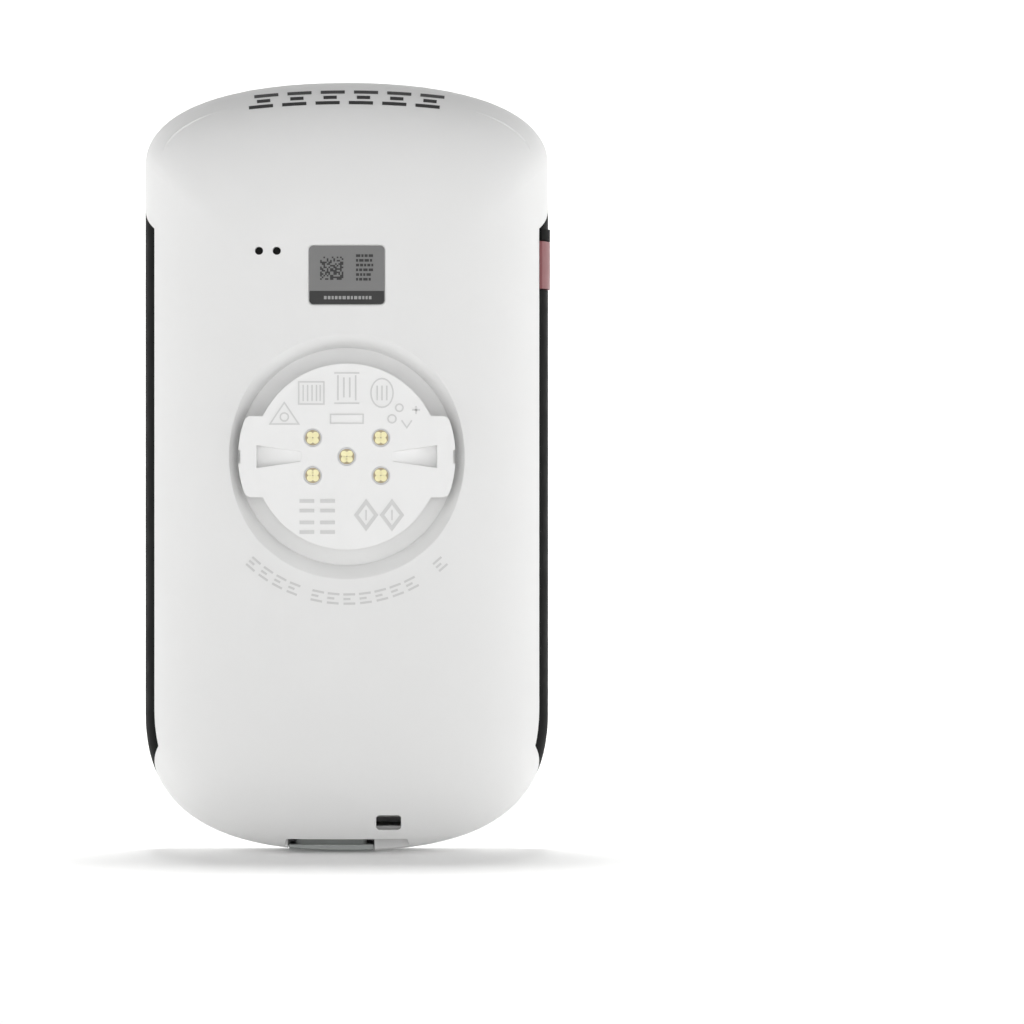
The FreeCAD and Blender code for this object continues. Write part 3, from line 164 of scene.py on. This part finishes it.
lcdFilm = moulded("lcdFilm", (0.06, 0.065, 0.065), (0.07, 0.075, 0.075), 0.25, 0.05)
diffuser = moulded("diffuser", grey(0.82), grey(0.78), 0.4, 0.1)
foamTape = moulded("foamTape", grey(0.02), grey(0.035), 0.8, 0.15, grain=3000)
steel = metal("steel", (0.62, 0.62, 0.63), (0.5, 0.5, 0.51), 0.28)
gold = metal("gold", (0.42, 0.36, 0.25), (0.36, 0.3, 0.2), 0.35)
# A brighter copy of the pad gold: painted highlight, used for the cross-shaped glint on each contact pad.
brightGold = metal("brightGold", (0.88, 0.83, 0.52), (0.8, 0.74, 0.45), 0.3)
boardGreen = moulded("boardGreen", (0.01, 0.12, 0.06), (0.015, 0.16, 0.08), 0.3, 0.1)
chipBlack = moulded("chipBlack", grey(0.02), grey(0.03), 0.5, 0.1)
nylon = moulded("nylon", (0.72, 0.68, 0.58), (0.66, 0.62, 0.52), 0.45, 0.1)
ceramic = moulded("ceramic", (0.6, 0.5, 0.33), (0.66, 0.56, 0.4), 0.3, 0.1)
amberFilm = moulded("amberFilm", (0.4, 0.17, 0.02), (0.46, 0.21, 0.03), 0.25, 0.08)
batteryFoil = metal("batteryFoil", (0.6, 0.61, 0.63), (0.52, 0.53, 0.55), 0.4, (1, 1, 0.1))
labelFilm = moulded("labelFilm", grey(0.185), grey(0.195), 0.45, 0.1)
inkDark = moulded("inkDark", grey(0.022), grey(0.03), 0.45, 0.1)
inkGrey = moulded("inkGrey", grey(0.045), grey(0.055), 0.45, 0.1)
inkLight = moulded("inkLight", grey(0.3), grey(0.34), 0.45, 0.1)
wireRed = moulded("wireRed", (0.45, 0.02, 0.02), (0.5, 0.03, 0.03), 0.45, 0.1)
membraneFilm = moulded("membraneFilm", grey(0.05), grey(0.04), 0.8, 0.1)

slotMaterials = {
    "white_plastic": whitePlastic, "black_plastic": blackPlastic, "red_plastic": redPlastic,
    "grey_rubber": greyRubber, "black_rubber": blackRubber, "key_rubber": keyRubber,
    "cover_glass": glassBlack, "lcd_glass": lcdFilm, "backlight_film": diffuser,
    "tape_black": foamTape, "steel": steel, "gold": gold, "board_green": boardGreen,
    "chip_black": chipBlack, "connector_plastic": nylon, "ceramic": ceramic,
    "flex_amber": amberFilm, "battery_wrap": batteryFoil, "label_grey": labelFilm,
    "wire_red": wireRed, "membrane": membraneFilm,
}


def dressCadNodes():
    for part in frame["record"]["subparts"]:
        mesh = nodes[part["node"]].data
        mesh.materials.clear()
        mesh.materials.append(slotMaterials[part["material_slot"]])


dressCadNodes()
print("materials on CAD nodes")


# Strokes: flat slabs, later laid on a surface.

def resample(points, step, closed):
    path = list(points)
    if closed:
        path.append(path[0])
    dense = [path[0]]
    for start, end in zip(path, path[1:]):
        length = math.dist(start, end)
        count = max(1, math.ceil(length / step))
        for i in range(1, count + 1):
            share = i / count
            x = start[0] + (end[0] - start[0]) * share
            z = start[1] + (end[1] - start[1]) * share
            dense.append((x, z))
    if closed:
        dense.pop()
    return dense


def addStroke(bm, points, width, front=0.0, back=1.0, closed=False, step=0.4):
    # A band along a path of (x, z) points in mm, from depth front to depth back.
    dense = resample(points, step, closed)
    count = len(dense)
    rows = []
    for i, (x, z) in enumerate(dense):
        before = dense[i - 1] if closed or i > 0 else dense[0]
        after = dense[(i + 1) % count] if closed or i < count - 1 else dense[-1]
        into = Vector((x - before[0], z - before[1]))
        out = Vector((after[0] - x, after[1] - z))
        into = into.normalized() if into.length else out.normalized()
        out = out.normalized() if out.length else into
        along = (into + out).normalized() if (into + out).length > 0.01 else into
        side = Vector((-along.y, along.x))
        half = width / 2 / max(0.5, abs(side.dot(Vector((-into.y, into.x)))))
        row = []
        for sign, depth in ((1, front), (-1, front), (-1, back), (1, back)):
            row.append(bm.verts.new(((x + side.x * half * sign) * mm, depth * mm,
                                     (z + side.y * half * sign) * mm)))
        rows.append(row)
    pairs = list(zip(rows, rows[1:]))
    if closed:
        pairs.append((rows[-1], rows[0]))
    else:
        bm.faces.new(rows[0])
        bm.faces.new(rows[-1][::-1])
    for a, b in pairs:
        for i in range(4):
            j = (i + 1) % 4
            bm.faces.new((a[i], b[i], b[j], a[j]))


def addSlab(bm, outline, front, back):
    # A flat plate over an outline of (x, z) points in mm.
    face = [bm.verts.new((x * mm, front * mm, z * mm)) for x, z in outline]
    rear = [bm.verts.new((x * mm, back * mm, z * mm)) for x, z in outline]
    bm.faces.new(face)
    bm.faces.new(rear[::-1])
    for i in range(len(outline)):
        j = (i + 1) % len(outline)
        bm.faces.new((face[i], rear[i], rear[j], face[j]))


def addBar(bm, x0, x1, z0, z1, front, back):
    addSlab(bm, [(x0, z0), (x1, z0), (x1, z1), (x0, z1)], front, back)


def arc(centre, radius, start, end, count=16, squash=1.0):
    path = []
    for i in range(count + 1):
        angle = math.radians(start + (end - start) * i / count)
        path.append((centre[0] + radius * math.cos(angle), centre[1] + radius * squash * math.sin(angle)))
    return path


def ring(centre, radius, count=24, squash=1.0):
    return arc(centre, radius, 0, 360, count, squash)[:-1]


def roundedOutline(x0, x1, z0, z1, corner, count):
    outline = arc((x1 - corner, z1 - corner), corner, 0, 90, count)
    outline += arc((x0 + corner, z1 - corner), corner, 90, 180, count)
    outline += arc((x0 + corner, z0 + corner), corner, 180, 270, count)
    outline += arc((x1 - corner, z0 + corner), corner, 270, 360, count)
    return outline


def linkPiece(name, mesh):
    piece = bpy.data.objects.new(name, mesh)
    bpy.context.scene.collection.objects.link(piece)
    return piece


def finishMesh(name, bm, material):
    bmesh.ops.recalc_face_normals(bm, faces=bm.faces)
    mesh = bpy.data.meshes.new(name)
    bm.to_mesh(mesh)
    bm.free()
    if material:
        mesh.materials.append(material)
    return linkPiece(name, mesh)


def rideCase(piece):
    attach(piece, body)


# Geometry node trees.

class Tree:
    # A geometry node group with named inputs, a Realize Instances and a Set Material at its end.
    def __init__(self, name):
        self.group = bpy.data.node_groups.new(name, "GeometryNodeTree")
        self.group.interface.new_socket(name="Geometry", in_out="INPUT", socket_type="NodeSocketGeometry")
        self.group.interface.new_socket(name="Geometry", in_out="OUTPUT", socket_type="NodeSocketGeometry")
        self.inputNode = self.group.nodes.new("NodeGroupInput")
        self.identifiers = {}

    def addInput(self, name, kind):
        socket = self.group.interface.new_socket(name=name, in_out="INPUT", socket_type="NodeSocket" + kind)
        self.identifiers[name] = socket.identifier

    def node(self, kind, settings=None, **links):
        made = self.group.nodes.new(kind)
        for key, value in (settings or {}).items():
            setattr(made, key, value)
        for key, value in links.items():
            self.feed(made, key, value)
        return made

    def feed(self, made, key, value):
        socket = made.inputs[int(key[1:])] if key[1:].isdigit() else made.inputs[key.replace("_", " ")]
        if isinstance(value, bpy.types.NodeSocket):
            self.group.links.new(value, socket)
        else:
            socket.default_value = value

    def given(self, name):
        return self.inputNode.outputs[name]

    def math(self, operation, first, second=0.0):
        return self.node("ShaderNodeMath", {"operation": operation}, i0=first, i1=second).outputs[0]

    def close(self, geometry, material):
        real = self.node("GeometryNodeRealizeInstances", Geometry=geometry)
        paint = self.node("GeometryNodeSetMaterial", Geometry=real.outputs[0])
        paint.inputs["Material"].default_value = material
        end = self.group.nodes.new("NodeGroupOutput")
        self.group.links.new(paint.outputs[0], end.inputs[0])


def bake(piece, tree, values):
    # Runs the tree once and keeps what it made as a plain mesh.
    modifier = piece.modifiers.new(tree.group.name, "NODES")
    modifier.node_group = tree.group
    for name, value in values.items():
        modifier[tree.identifiers[name]] = value
    bpy.context.view_layer.update()
    evaluated = piece.evaluated_get(bpy.context.evaluated_depsgraph_get())
    mesh = bpy.data.meshes.new_from_object(evaluated)
    mesh.name = piece.name
    piece.modifiers.clear()
    piece.data = mesh
    return piece


rayFrom = -30 * mm
rayLength = 100 * mm


def layOn(tree, geometry):
    # Moves each point along Y onto the target: front points stand Lift proud, rear points sink in.
    place = tree.node("ShaderNodeSeparateXYZ", i0=tree.node("GeometryNodeInputPosition").outputs[0])
    target = tree.node("GeometryNodeObjectInfo", {"transform_space": "RELATIVE"})
    tree.group.links.new(tree.given("Target"), target.inputs["Object"])
    start = tree.node("ShaderNodeCombineXYZ", X=place.outputs[0], Y=rayFrom, Z=place.outputs[2])
    ray = tree.node("GeometryNodeRaycast", Source_Position=start.outputs[0], Ray_Direction=(0, 1, 0),
                    Ray_Length=rayLength)
    tree.group.links.new(target.outputs["Geometry"], ray.inputs[0])
    hit = tree.node("ShaderNodeSeparateXYZ", i0=ray.outputs["Hit Position"])
    share = tree.math("DIVIDE", place.outputs[1], mm)
    depth = tree.math("MULTIPLY", share, tree.math("MULTIPLY", tree.given("Lift"), 2.0))
    level = tree.math("ADD", tree.math("SUBTRACT", hit.outputs[1], tree.given("Lift")), depth)
    moved = tree.node("ShaderNodeCombineXYZ", X=place.outputs[0], Y=level, Z=place.outputs[2])
    return tree.node("GeometryNodeSetPosition", Geometry=geometry, Position=moved.outputs[0]).outputs[0]


def surfaceTree(name, material):
    tree = Tree(name)
    tree.addInput("Target", "Object")
    tree.addInput("Lift", "Float")
    tree.close(layOn(tree, tree.given("Geometry")), material)
    return tree


def arcTree(name, material):
    # Repeats the piece's own small mark along an arc below the boss, and lays it on the target.
    tree = Tree(name)
    tree.addInput("Target", "Object")
    tree.addInput("Lift", "Float")
    tree.addInput("Radius", "Float")
    tree.addInput("Start Angle", "Float")
    tree.addInput("Sweep", "Float")
    tree.addInput("Count", "Int")
    line = tree.node("GeometryNodeMeshLine", {"mode": "OFFSET"}, Count=tree.given("Count"))
    line.inputs["Offset"].default_value = (0, 0, 0)
    index = tree.node("GeometryNodeInputIndex").outputs[0]
    last = tree.math("MAXIMUM", tree.math("SUBTRACT", tree.given("Count"), 1.0), 1.0)
    turn = tree.math("MULTIPLY", tree.math("DIVIDE", index, last), tree.given("Sweep"))
    angle = tree.math("ADD", tree.given("Start Angle"), turn)
    x = tree.math("MULTIPLY", tree.math("SINE", angle), tree.given("Radius"))
    z = tree.math("MULTIPLY", tree.math("COSINE", angle), tree.math("MULTIPLY", tree.given("Radius"), -1.0))
    spot = tree.node("ShaderNodeCombineXYZ", X=x, Z=z)
    placed = tree.node("GeometryNodeSetPosition", Geometry=line.outputs[0], Position=spot.outputs[0])
    tilt = tree.node("ShaderNodeCombineXYZ", Y=tree.math("MULTIPLY", angle, -1.0))
    marks = tree.node("GeometryNodeInstanceOnPoints", Points=placed.outputs[0],
                      Instance=tree.given("Geometry"), Rotation=tilt.outputs[0])
    real = tree.node("GeometryNodeRealizeInstances", Geometry=marks.outputs[0])
    tree.close(layOn(tree, real.outputs[0]), material)
    return tree


def petalTree(name, material):
    # Four round lobes about each point of the piece.
    tree = Tree(name)
    tree.addInput("Spread", "Float")
    tree.addInput("Lobe", "Float")
    tree.addInput("Height", "Float")
    quad = tree.node("GeometryNodeMeshCircle", Radius=tree.given("Spread"))
    quad.inputs["Vertices"].default_value = 4
    lobe = tree.node("GeometryNodeMeshCylinder", Radius=tree.given("Lobe"), Depth=tree.given("Height"))
    lobe.inputs["Vertices"].default_value = 20
    four = tree.node("GeometryNodeInstanceOnPoints", Points=quad.outputs[0], Instance=lobe.outputs[0])
    cluster = tree.node("GeometryNodeRealizeInstances", Geometry=four.outputs[0])
    points = tree.node("GeometryNodeInstanceOnPoints", Points=tree.given("Geometry"),
                       Instance=cluster.outputs[0])
    points.inputs["Rotation"].default_value = (math.radians(90), math.radians(45), 0)
    tree.close(points.outputs[0], material)
    return tree


# Top mark: a row of plain split bars in place of any name.

topMark = {
    "count": 6,
    "pitch": 4.55,
    "barWide": 3.3,
    "stroke": 0.48,
    "gap": 0.62,
    "middleShare": 0.55,
    "middleZ": 49.1,
    "droop": 0.55,
    "droopAt": 12,
    "lean": 0.35,
    "lift": 0.05,
}


def buildTopMark():
    bm = bmesh.new()
    half = (topMark["count"] - 1) / 2
    for i in range(topMark["count"]):
        centre = (i - half) * topMark["pitch"]
        for row in (-1, 0, 1):
            shift = row * (topMark["stroke"] + topMark["gap"] / 2)
            wide = topMark["barWide"] * (topMark["middleShare"] if row == 0 else 1.0)
            path = []
            for step in (-0.5, -0.25, 0, 0.25, 0.5):
                x = centre + step * wide + row * topMark["lean"]
                z = topMark["middleZ"] - topMark["droop"] * (x / topMark["droopAt"]) ** 2 + shift
                path.append((x, z))
            addStroke(bm, path, topMark["stroke"])
    piece = finishMesh("topMark", bm, None)
    tree = surfaceTree("topMarkOnShell", inkGrey)
    bake(piece, tree, {"Target": nodes["rear_shell"], "Lift": topMark["lift"] * mm})
    rideCase(piece)


buildTopMark()
print("top mark")


# Raised dashes on an arc below the boss, in a darker grey that is painted shade along their edges.

arcMarks = {
    "radius": 19.3,
    "high": 1.25,
    "middleShare": 0.6,
    "stroke": 0.3,
    "lift": 0.05,
    "groups": ((-41.0, 19.0, 4, 1.5), (-12.0, 39.0, 7, 1.6), (41.0, 0.0, 1, 1.5)),
}


def buildArcMarks():
    tree = arcTree("marksOnArc", markPlastic)
    high = arcMarks["high"]
    for number, (start, sweep, count, wide) in enumerate(arcMarks["groups"]):
        bm = bmesh.new()
        for z in (-high / 2, 0, high / 2):
            length = wide * (arcMarks["middleShare"] if z == 0 else 1.0)
            addStroke(bm, [(-wide / 2, z), (-wide / 2 + length, z)], arcMarks["stroke"])
        piece = finishMesh("arcMarks_%d" % number, bm, None)
        bake(piece, tree, {
            "Target": nodes["rear_shell"], "Lift": arcMarks["lift"] * mm,
            "Radius": arcMarks["radius"] * mm, "Start Angle": math.radians(start),
            "Sweep": math.radians(sweep), "Count": count,
        })
        rideCase(piece)


buildArcMarks()
print("arc marks")


# Label print.

labelPrint = {
    "bandHigh": 1.85,
    "corner": 0.6,
    "codeLeft": -3.62,
    "codeSize": 3.15,
    "codeAbove": 3.35,
    "cells": 14,
    "fill": 0.55,
    "seed": 11,
    "inset": 0.06,
    "textLeft": 1.24,
    "textRight": 3.58,
    "textRows": 6,
    "textPitch": 0.64,
    "textHigh": 0.36,
    "textGap": 0.13,
    "textDrop": 0.1,
    "shortest": 0.2,
    "dashReach": 3.1,
    "dashLow": 0.72,
    "dashHigh": 1.16,
    "dashGap": 0.16,
    "dashProud": 0.006,
    "thick": 0.012,
}


def buildLabelPrint():
    low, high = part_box("rating_label")
    left = low[0] / mm
    right = high[0] / mm
    bottom = low[2] / mm
    back = low[1] / mm
    front = back - labelPrint["thick"]
    inset = labelPrint["inset"]
    corner = labelPrint["corner"] - inset
    x0 = left + inset
    x1 = right - inset
    z0 = bottom + inset
    outline = [(x1, bottom + labelPrint["bandHigh"]), (x0, bottom + labelPrint["bandHigh"])]
    outline += arc((x0 + corner, z0 + corner), corner, 180, 270, 8)
    outline += arc((x1 - corner, z0 + corner), corner, 270, 360, 8)
    bm = bmesh.new()
    addSlab(bm, outline, front, back)
    band = finishMesh("labelBand", bm, inkDark)
    rideCase(band)

    bm = bmesh.new()
    rand = random.Random(labelPrint["seed"])
    cell = labelPrint["codeSize"] / labelPrint["cells"]
    base = bottom + labelPrint["codeAbove"]
    for row in range(labelPrint["cells"]):
        for column in range(labelPrint["cells"]):
            if rand.random() < labelPrint["fill"]:
                x = labelPrint["codeLeft"] + column * cell
                z = base + row * cell
                addBar(bm, x, x + cell, z, z + cell, front, back)
    for row in range(labelPrint["textRows"]):
        z = base - labelPrint["textDrop"] + row * labelPrint["textPitch"]
        x = labelPrint["textLeft"]
        while x < labelPrint["textRight"] - labelPrint["shortest"]:
            wide = min(rand.choice((0.3, 0.42, 0.6)), labelPrint["textRight"] - x)
            addBar(bm, x, x + wide, z, z + labelPrint["textHigh"], front, back)
            x += wide + labelPrint["textGap"]
    ink = finishMesh("labelInk", bm, inkDark)
    rideCase(ink)

    bm = bmesh.new()
    x = -labelPrint["dashReach"]
    while x < labelPrint["dashReach"]:
        wide = rand.choice((0.28, 0.36, 0.44))
        addBar(bm, x, x + wide, bottom + labelPrint["dashLow"], bottom + labelPrint["dashHigh"],
               front - labelPrint["dashProud"], front)
        x += wide + labelPrint["dashGap"]
    dashes = finishMesh("labelDashes", bm, inkLight)
    rideCase(dashes)


buildLabelPrint()
print("label print")


# Quarter-turn disc: its face stands just behind its raised marks.

discFace = {
    "sunk": 0.05,
    "rooted": 0.05,
    "stroke": 0.2,
    "bold": 0.5,
}


def buildDisc():
    source = nodes["mount_insert"]
    mesh = source.data.copy()
    mesh.name = "discBody"
    for vertex in mesh.vertices:
        if vertex.co.y < flatWithin:
            vertex.co.y = discFace["sunk"] * mm
    mesh.materials.clear()
    mesh.materials.append(insertPlastic)
    piece = linkPiece("discBody", mesh)
    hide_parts("mount_insert")
    rideCase(piece)


def buildDiscMarks():
    bm = bmesh.new()
    back = discFace["sunk"] + discFace["rooted"]
    thin = discFace["stroke"]
    bold = discFace["bold"]

    def line(points, width=thin, closed=False):
        addStroke(bm, points, width, 0.0, back, closed)

    # square filled with upright bars
    line([(-6.5, 7.1), (-3.1, 7.1), (-3.1, 10.1), (-6.5, 10.1)], closed=True)
    for x in (-5.9, -5.3, -4.7, -4.1, -3.6):
        line([(x, 7.5), (x, 9.7)])
    # four upright bars between two level ones
    line([(-1.2, 7.6), (-1.2, 11.0)])
    line([(1.2, 7.6), (1.2, 11.0)])
    line([(-1.7, 11.3), (1.7, 11.3)])
    line([(-1.7, 7.2), (1.7, 7.2)])
    line([(-0.4, 8.0), (-0.4, 10.7)])
    line([(0.4, 8.0), (0.4, 10.7)])
    # flat box
    line([(-2.2, 4.5), (2.2, 4.5), (2.2, 5.7), (-2.2, 5.7)], closed=True)
    # oval with bars
    line(ring((4.75, 8.6), 1.5, 24, 1.3), closed=True)
    for x in (4.1, 4.75, 5.4):
        line([(x, 7.6), (x, 9.6)])
    # triangle round a small ring
    line([(-10.4, 4.4), (-6.5, 4.4), (-8.45, 7.3)], closed=True)
    line(ring((-8.45, 5.35), 0.55, 16), closed=True)
    # two small rings, a chevron and a cross, on the right
    line(ring((6.1, 5.1), 0.55, 16), closed=True)
    line(ring((7.1, 6.6), 0.5, 16), closed=True)
    line([(7.4, 4.9), (8.1, 3.9), (8.8, 4.9)])
    line([(8.8, 6.3), (9.9, 6.3)])
    line([(9.35, 5.75), (9.35, 6.85)])
    # bold blocks, low on the left
    for z in (-6.0, -7.3, -8.9, -10.2):
        line([(-6.4, z), (-4.4, z)], bold)
        line([(-3.6, z), (-1.6, z)], bold)
    # two upright lozenges with a bar inside, low on the right
    for x in (2.6, 6.1):
        line([(x - 1.35, -7.9), (x, -6.1), (x + 1.35, -7.9), (x, -9.7)], bold, True)
        line([(x, -8.6), (x, -7.2)])
    # The marks are the disc's own white plastic; their darker grey is painted shade along their raised
    # edges.
    marks = finishMesh("discMarks", bm, discMarkPlastic)
    rideCase(marks)


padFaces = {
    "petalSpread": 0.52,
    "petalR": 0.44,
    "petalHigh": 0.05,
    "ringR": 1.12,
    "ringWide": 0.16,
    "ringThick": 0.03,
    "padR": 1.2,
}


def padCentres():
    low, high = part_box("contact_pads")
    x = high[0] / mm - padFaces["padR"]
    z = high[2] / mm - padFaces["padR"]
    return [(0, 0), (x, z), (-x, z), (x, -z), (-x, -z)], low[1] / mm


def buildPadFaces():
    centres, level = padCentres()
    bm = bmesh.new()
    for x, z in centres:
        bm.verts.new((x * mm, (level - padFaces["petalHigh"] / 2) * mm, z * mm))
    petals = finishMesh("padPetals", bm, None)
    # The bright gold lobes are a painted highlight: the cross-shaped glint on each gold pad, which stay
    # real gold beneath.
    bake(petals, petalTree("petalsOnPads", brightGold), {
        "Spread": padFaces["petalSpread"] * mm, "Lobe": padFaces["petalR"] * mm,
        "Height": padFaces["petalHigh"] * mm,
    })
    rideCase(petals)
    bm = bmesh.new()
    for x, z in centres:
        circle = ring((x, z), padFaces["ringR"], 32)
        addStroke(bm, circle, padFaces["ringWide"], level - padFaces["ringThick"], level, True)
    rims = finishMesh("padRims", bm, steel)
    rideCase(rims)


buildDisc()
buildDiscMarks()
buildPadFaces()
print("disc, its marks and pads")


# Front: screen area and key icons.

screen = {"margin": 0.6, "thick": 0.02, "corner": 0.8}


def buildScreen():
    low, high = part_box("lcd_panel")
    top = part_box("cover_glass")[1][1] / mm
    x = high[0] / mm - screen["margin"]
    z0 = low[2] / mm + screen["margin"]
    z1 = high[2] / mm - screen["margin"]
    outline = roundedOutline(-x, x, z0, z1, screen["corner"], 6)
    bm = bmesh.new()
    addSlab(bm, outline, top, top + screen["thick"])
    piece = finishMesh("screenArea", bm, screenDark)
    rideCase(piece)


keyIcons = {
    "stroke": 0.35,
    "sunk": 0.04,
    "rooted": 0.02,
    "half": 1.0,
    "pointReach": 0.7,
}


def buildKey(node, keyBody, paths):
    # The key's top stands just below its raised icon.
    source = nodes[node]
    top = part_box(node)[1][1]
    mesh = source.data.copy()
    mesh.name = node + "Cap"
    for vertex in mesh.vertices:
        if vertex.co.y > top - flatWithin:
            vertex.co.y = top - keyIcons["sunk"] * mm
    piece = linkPiece(node.replace("_", "") + "Cap", mesh)
    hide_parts(node)
    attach(piece, keyBody)
    bm = bmesh.new()
    level = top / mm
    for points, closed in paths:
        root = level - keyIcons["sunk"] - keyIcons["rooted"]
        addStroke(bm, points, keyIcons["stroke"], root, level, closed)
    icon = finishMesh(node.replace("_", "") + "Icon", bm, inkLight)
    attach(icon, keyBody)


def buildKeys():
    for node, keyBody in (("start_key", "start_button"), ("lap_key", "lap_button")):
        low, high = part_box(node)
        x = (low[0] + high[0]) / 2 / mm
        z = (low[2] + high[2]) / 2 / mm
        half = keyIcons["half"]
        if node == "start_key":
            paths = [([(x - half, z - half), (x - half, z + half), (x + keyIcons["pointReach"], z)], True)]
        else:
            paths = [(arc((x, z), half, 40, 340, 20), False)]
        buildKey(node, keyBody, paths)


buildScreen()
buildKeys()
print("front")


# Camera, light and floor.

camera = {
    "lens": 150.0,
    "sensor": 36.0,
    "distance": 0.5766,
    "shift": (0.1613, -0.0541),
}
studio = {
    "floorWhite": 0.93,
    "floorFront": -0.22,
    "bendFrom": 0.35,
    "bendR": 0.4,
    "bendSteps": 12,
    "wallTop": 1.6,
    "halfWide": 1.6,
    "glowFrom": 0.04,
    "glowTo": 0.30,
    "nearGlow": 0.08,
    "farGlow": 0.40,
    "base": 1.31,
    "sideTilt": 0.03,
    "topLoss": 1.40,
    "lowLoss": 0.65,
}
lights = {
    "leftPanel": {"place": (-0.59, -0.10, -0.14), "size": (0.25, 0.6), "power": 1.8},
    "rightPanel": {"place": (0.59, -0.10, -0.14), "size": (0.25, 0.6), "power": 2.35},
    "overhead": {"place": (0, 0.10, 0.55), "size": (0.16, 0.10), "power": 2.2},
}
floorOnly = ("overhead",)


def buildCamera():
    data = bpy.data.cameras.new("camera")
    data.lens = camera["lens"]
    data.sensor_width = camera["sensor"]
    data.shift_x, data.shift_y = camera["shift"]
    data.clip_start = 0.01
    eye = bpy.data.objects.new("camera", data)
    eye.location = (0, -camera["distance"], 0)
    eye.rotation_euler = (math.radians(90), 0, 0)
    bpy.context.scene.collection.objects.link(eye)
    bpy.context.scene.camera = eye


def buildWorld():
    # Even studio light that falls off above and below.
    world = bpy.data.worlds.new("studio")
    world.use_nodes = True
    tree = world.node_tree
    links = tree.links
    coord = tree.nodes.new("ShaderNodeTexCoord")
    split = tree.nodes.new("ShaderNodeSeparateXYZ")
    links.new(coord.outputs["Generated"], split.inputs[0])

    def calc(operation, first, second):
        node = tree.nodes.new("ShaderNodeMath")
        node.operation = operation
        for socket, value in zip(node.inputs, (first, second)):
            if isinstance(value, float):
                socket.default_value = value
            else:
                links.new(value, socket)
        return node.outputs[0]

    x, z = split.outputs[0], split.outputs[2]
    tilt = calc("MULTIPLY", x, studio["sideTilt"])
    above = calc("MULTIPLY", calc("MAXIMUM", z, 0.0), studio["topLoss"])
    below = calc("MULTIPLY", calc("MINIMUM", z, 0.0), -studio["lowLoss"])
    loss = calc("ADD", above, below)
    total = calc("SUBTRACT", calc("ADD", tilt, studio["base"]), loss)
    tree.nodes["Background"].inputs["Color"].default_value = (1, 1, 1, 1)
    links.new(total, tree.nodes["Background"].inputs["Strength"])
    bpy.context.scene.world = world


def buildLights():
    for name, light in lights.items():
        data = bpy.data.lights.new(name, "AREA")
        data.shape = "RECTANGLE"
        data.size, data.size_y = light["size"]
        data.energy = light["power"]
        lamp = bpy.data.objects.new(name, data)
        lamp.location = light["place"]
        lamp.rotation_euler = (-Vector(light["place"])).to_track_quat("-Z", "Y").to_euler()
        bpy.context.scene.collection.objects.link(lamp)
        if name in floorOnly:
            receivers = bpy.data.collections.new("floorLit")
            receivers.objects.link(bpy.data.objects["floor"])
            lamp.light_linking.receiver_collection = receivers


def buildFloor():
    # A floor that curves up into a backdrop.
    low = cadBox[0][2]
    start = studio["bendFrom"]
    bend = studio["bendR"]
    steps = studio["bendSteps"]
    profile = [(studio["floorFront"], 0.0), (start, 0.0)]
    for step in range(1, steps + 1):
        angle = math.radians(90 * step / steps)
        profile.append((start + bend * math.sin(angle), bend * (1 - math.cos(angle))))
    profile.append((start + bend, studio["wallTop"]))
    bm = bmesh.new()
    rows = []
    for y, z in profile:
        rows.append([bm.verts.new((x, y, low + z)) for x in (-studio["halfWide"], studio["halfWide"])])
    for a, b in zip(rows, rows[1:]):
        bm.faces.new((a[0], a[1], b[1], b[0]))
    mesh = bpy.data.meshes.new("floor")
    bm.to_mesh(mesh)
    bm.free()
    for face in mesh.polygons:
        face.use_smooth = True
    floor = linkPiece("floor", mesh)
    mat, tree, shader = newMaterial("floorPaper")
    white = studio["floorWhite"]
    tree.links.new(mixColor(tree, objectNoise(tree, 30), grey(white), grey(white - 0.01)),
                   shader.inputs["Base Color"])
    shader.inputs["Roughness"].default_value = 0.9
    shader.inputs["Specular IOR Level"].default_value = 0.1
    # The floor also glows: painted light, faint next to the object and stronger further back.
    shader.inputs["Emission Color"].default_value = (1, 1, 1, 1)
    coord = tree.nodes.new("ShaderNodeTexCoord")
    split = tree.nodes.new("ShaderNodeSeparateXYZ")
    glow = tree.nodes.new("ShaderNodeMapRange")
    glow.interpolation_type = "SMOOTHSTEP"
    glow.inputs["From Min"].default_value = studio["glowFrom"]
    glow.inputs["From Max"].default_value = studio["glowTo"]
    glow.inputs["To Min"].default_value = studio["nearGlow"]
    glow.inputs["To Max"].default_value = studio["farGlow"]
    tree.links.new(coord.outputs["Object"], split.inputs[0])
    tree.links.new(split.outputs[1], glow.inputs["Value"])
    tree.links.new(glow.outputs["Result"], shader.inputs["Emission Strength"])
    mesh.materials.append(mat)


buildCamera()
buildWorld()
buildFloor()
buildLights()
bpy.context.scene.view_settings.view_transform = "Standard"
print("camera, light and floor")
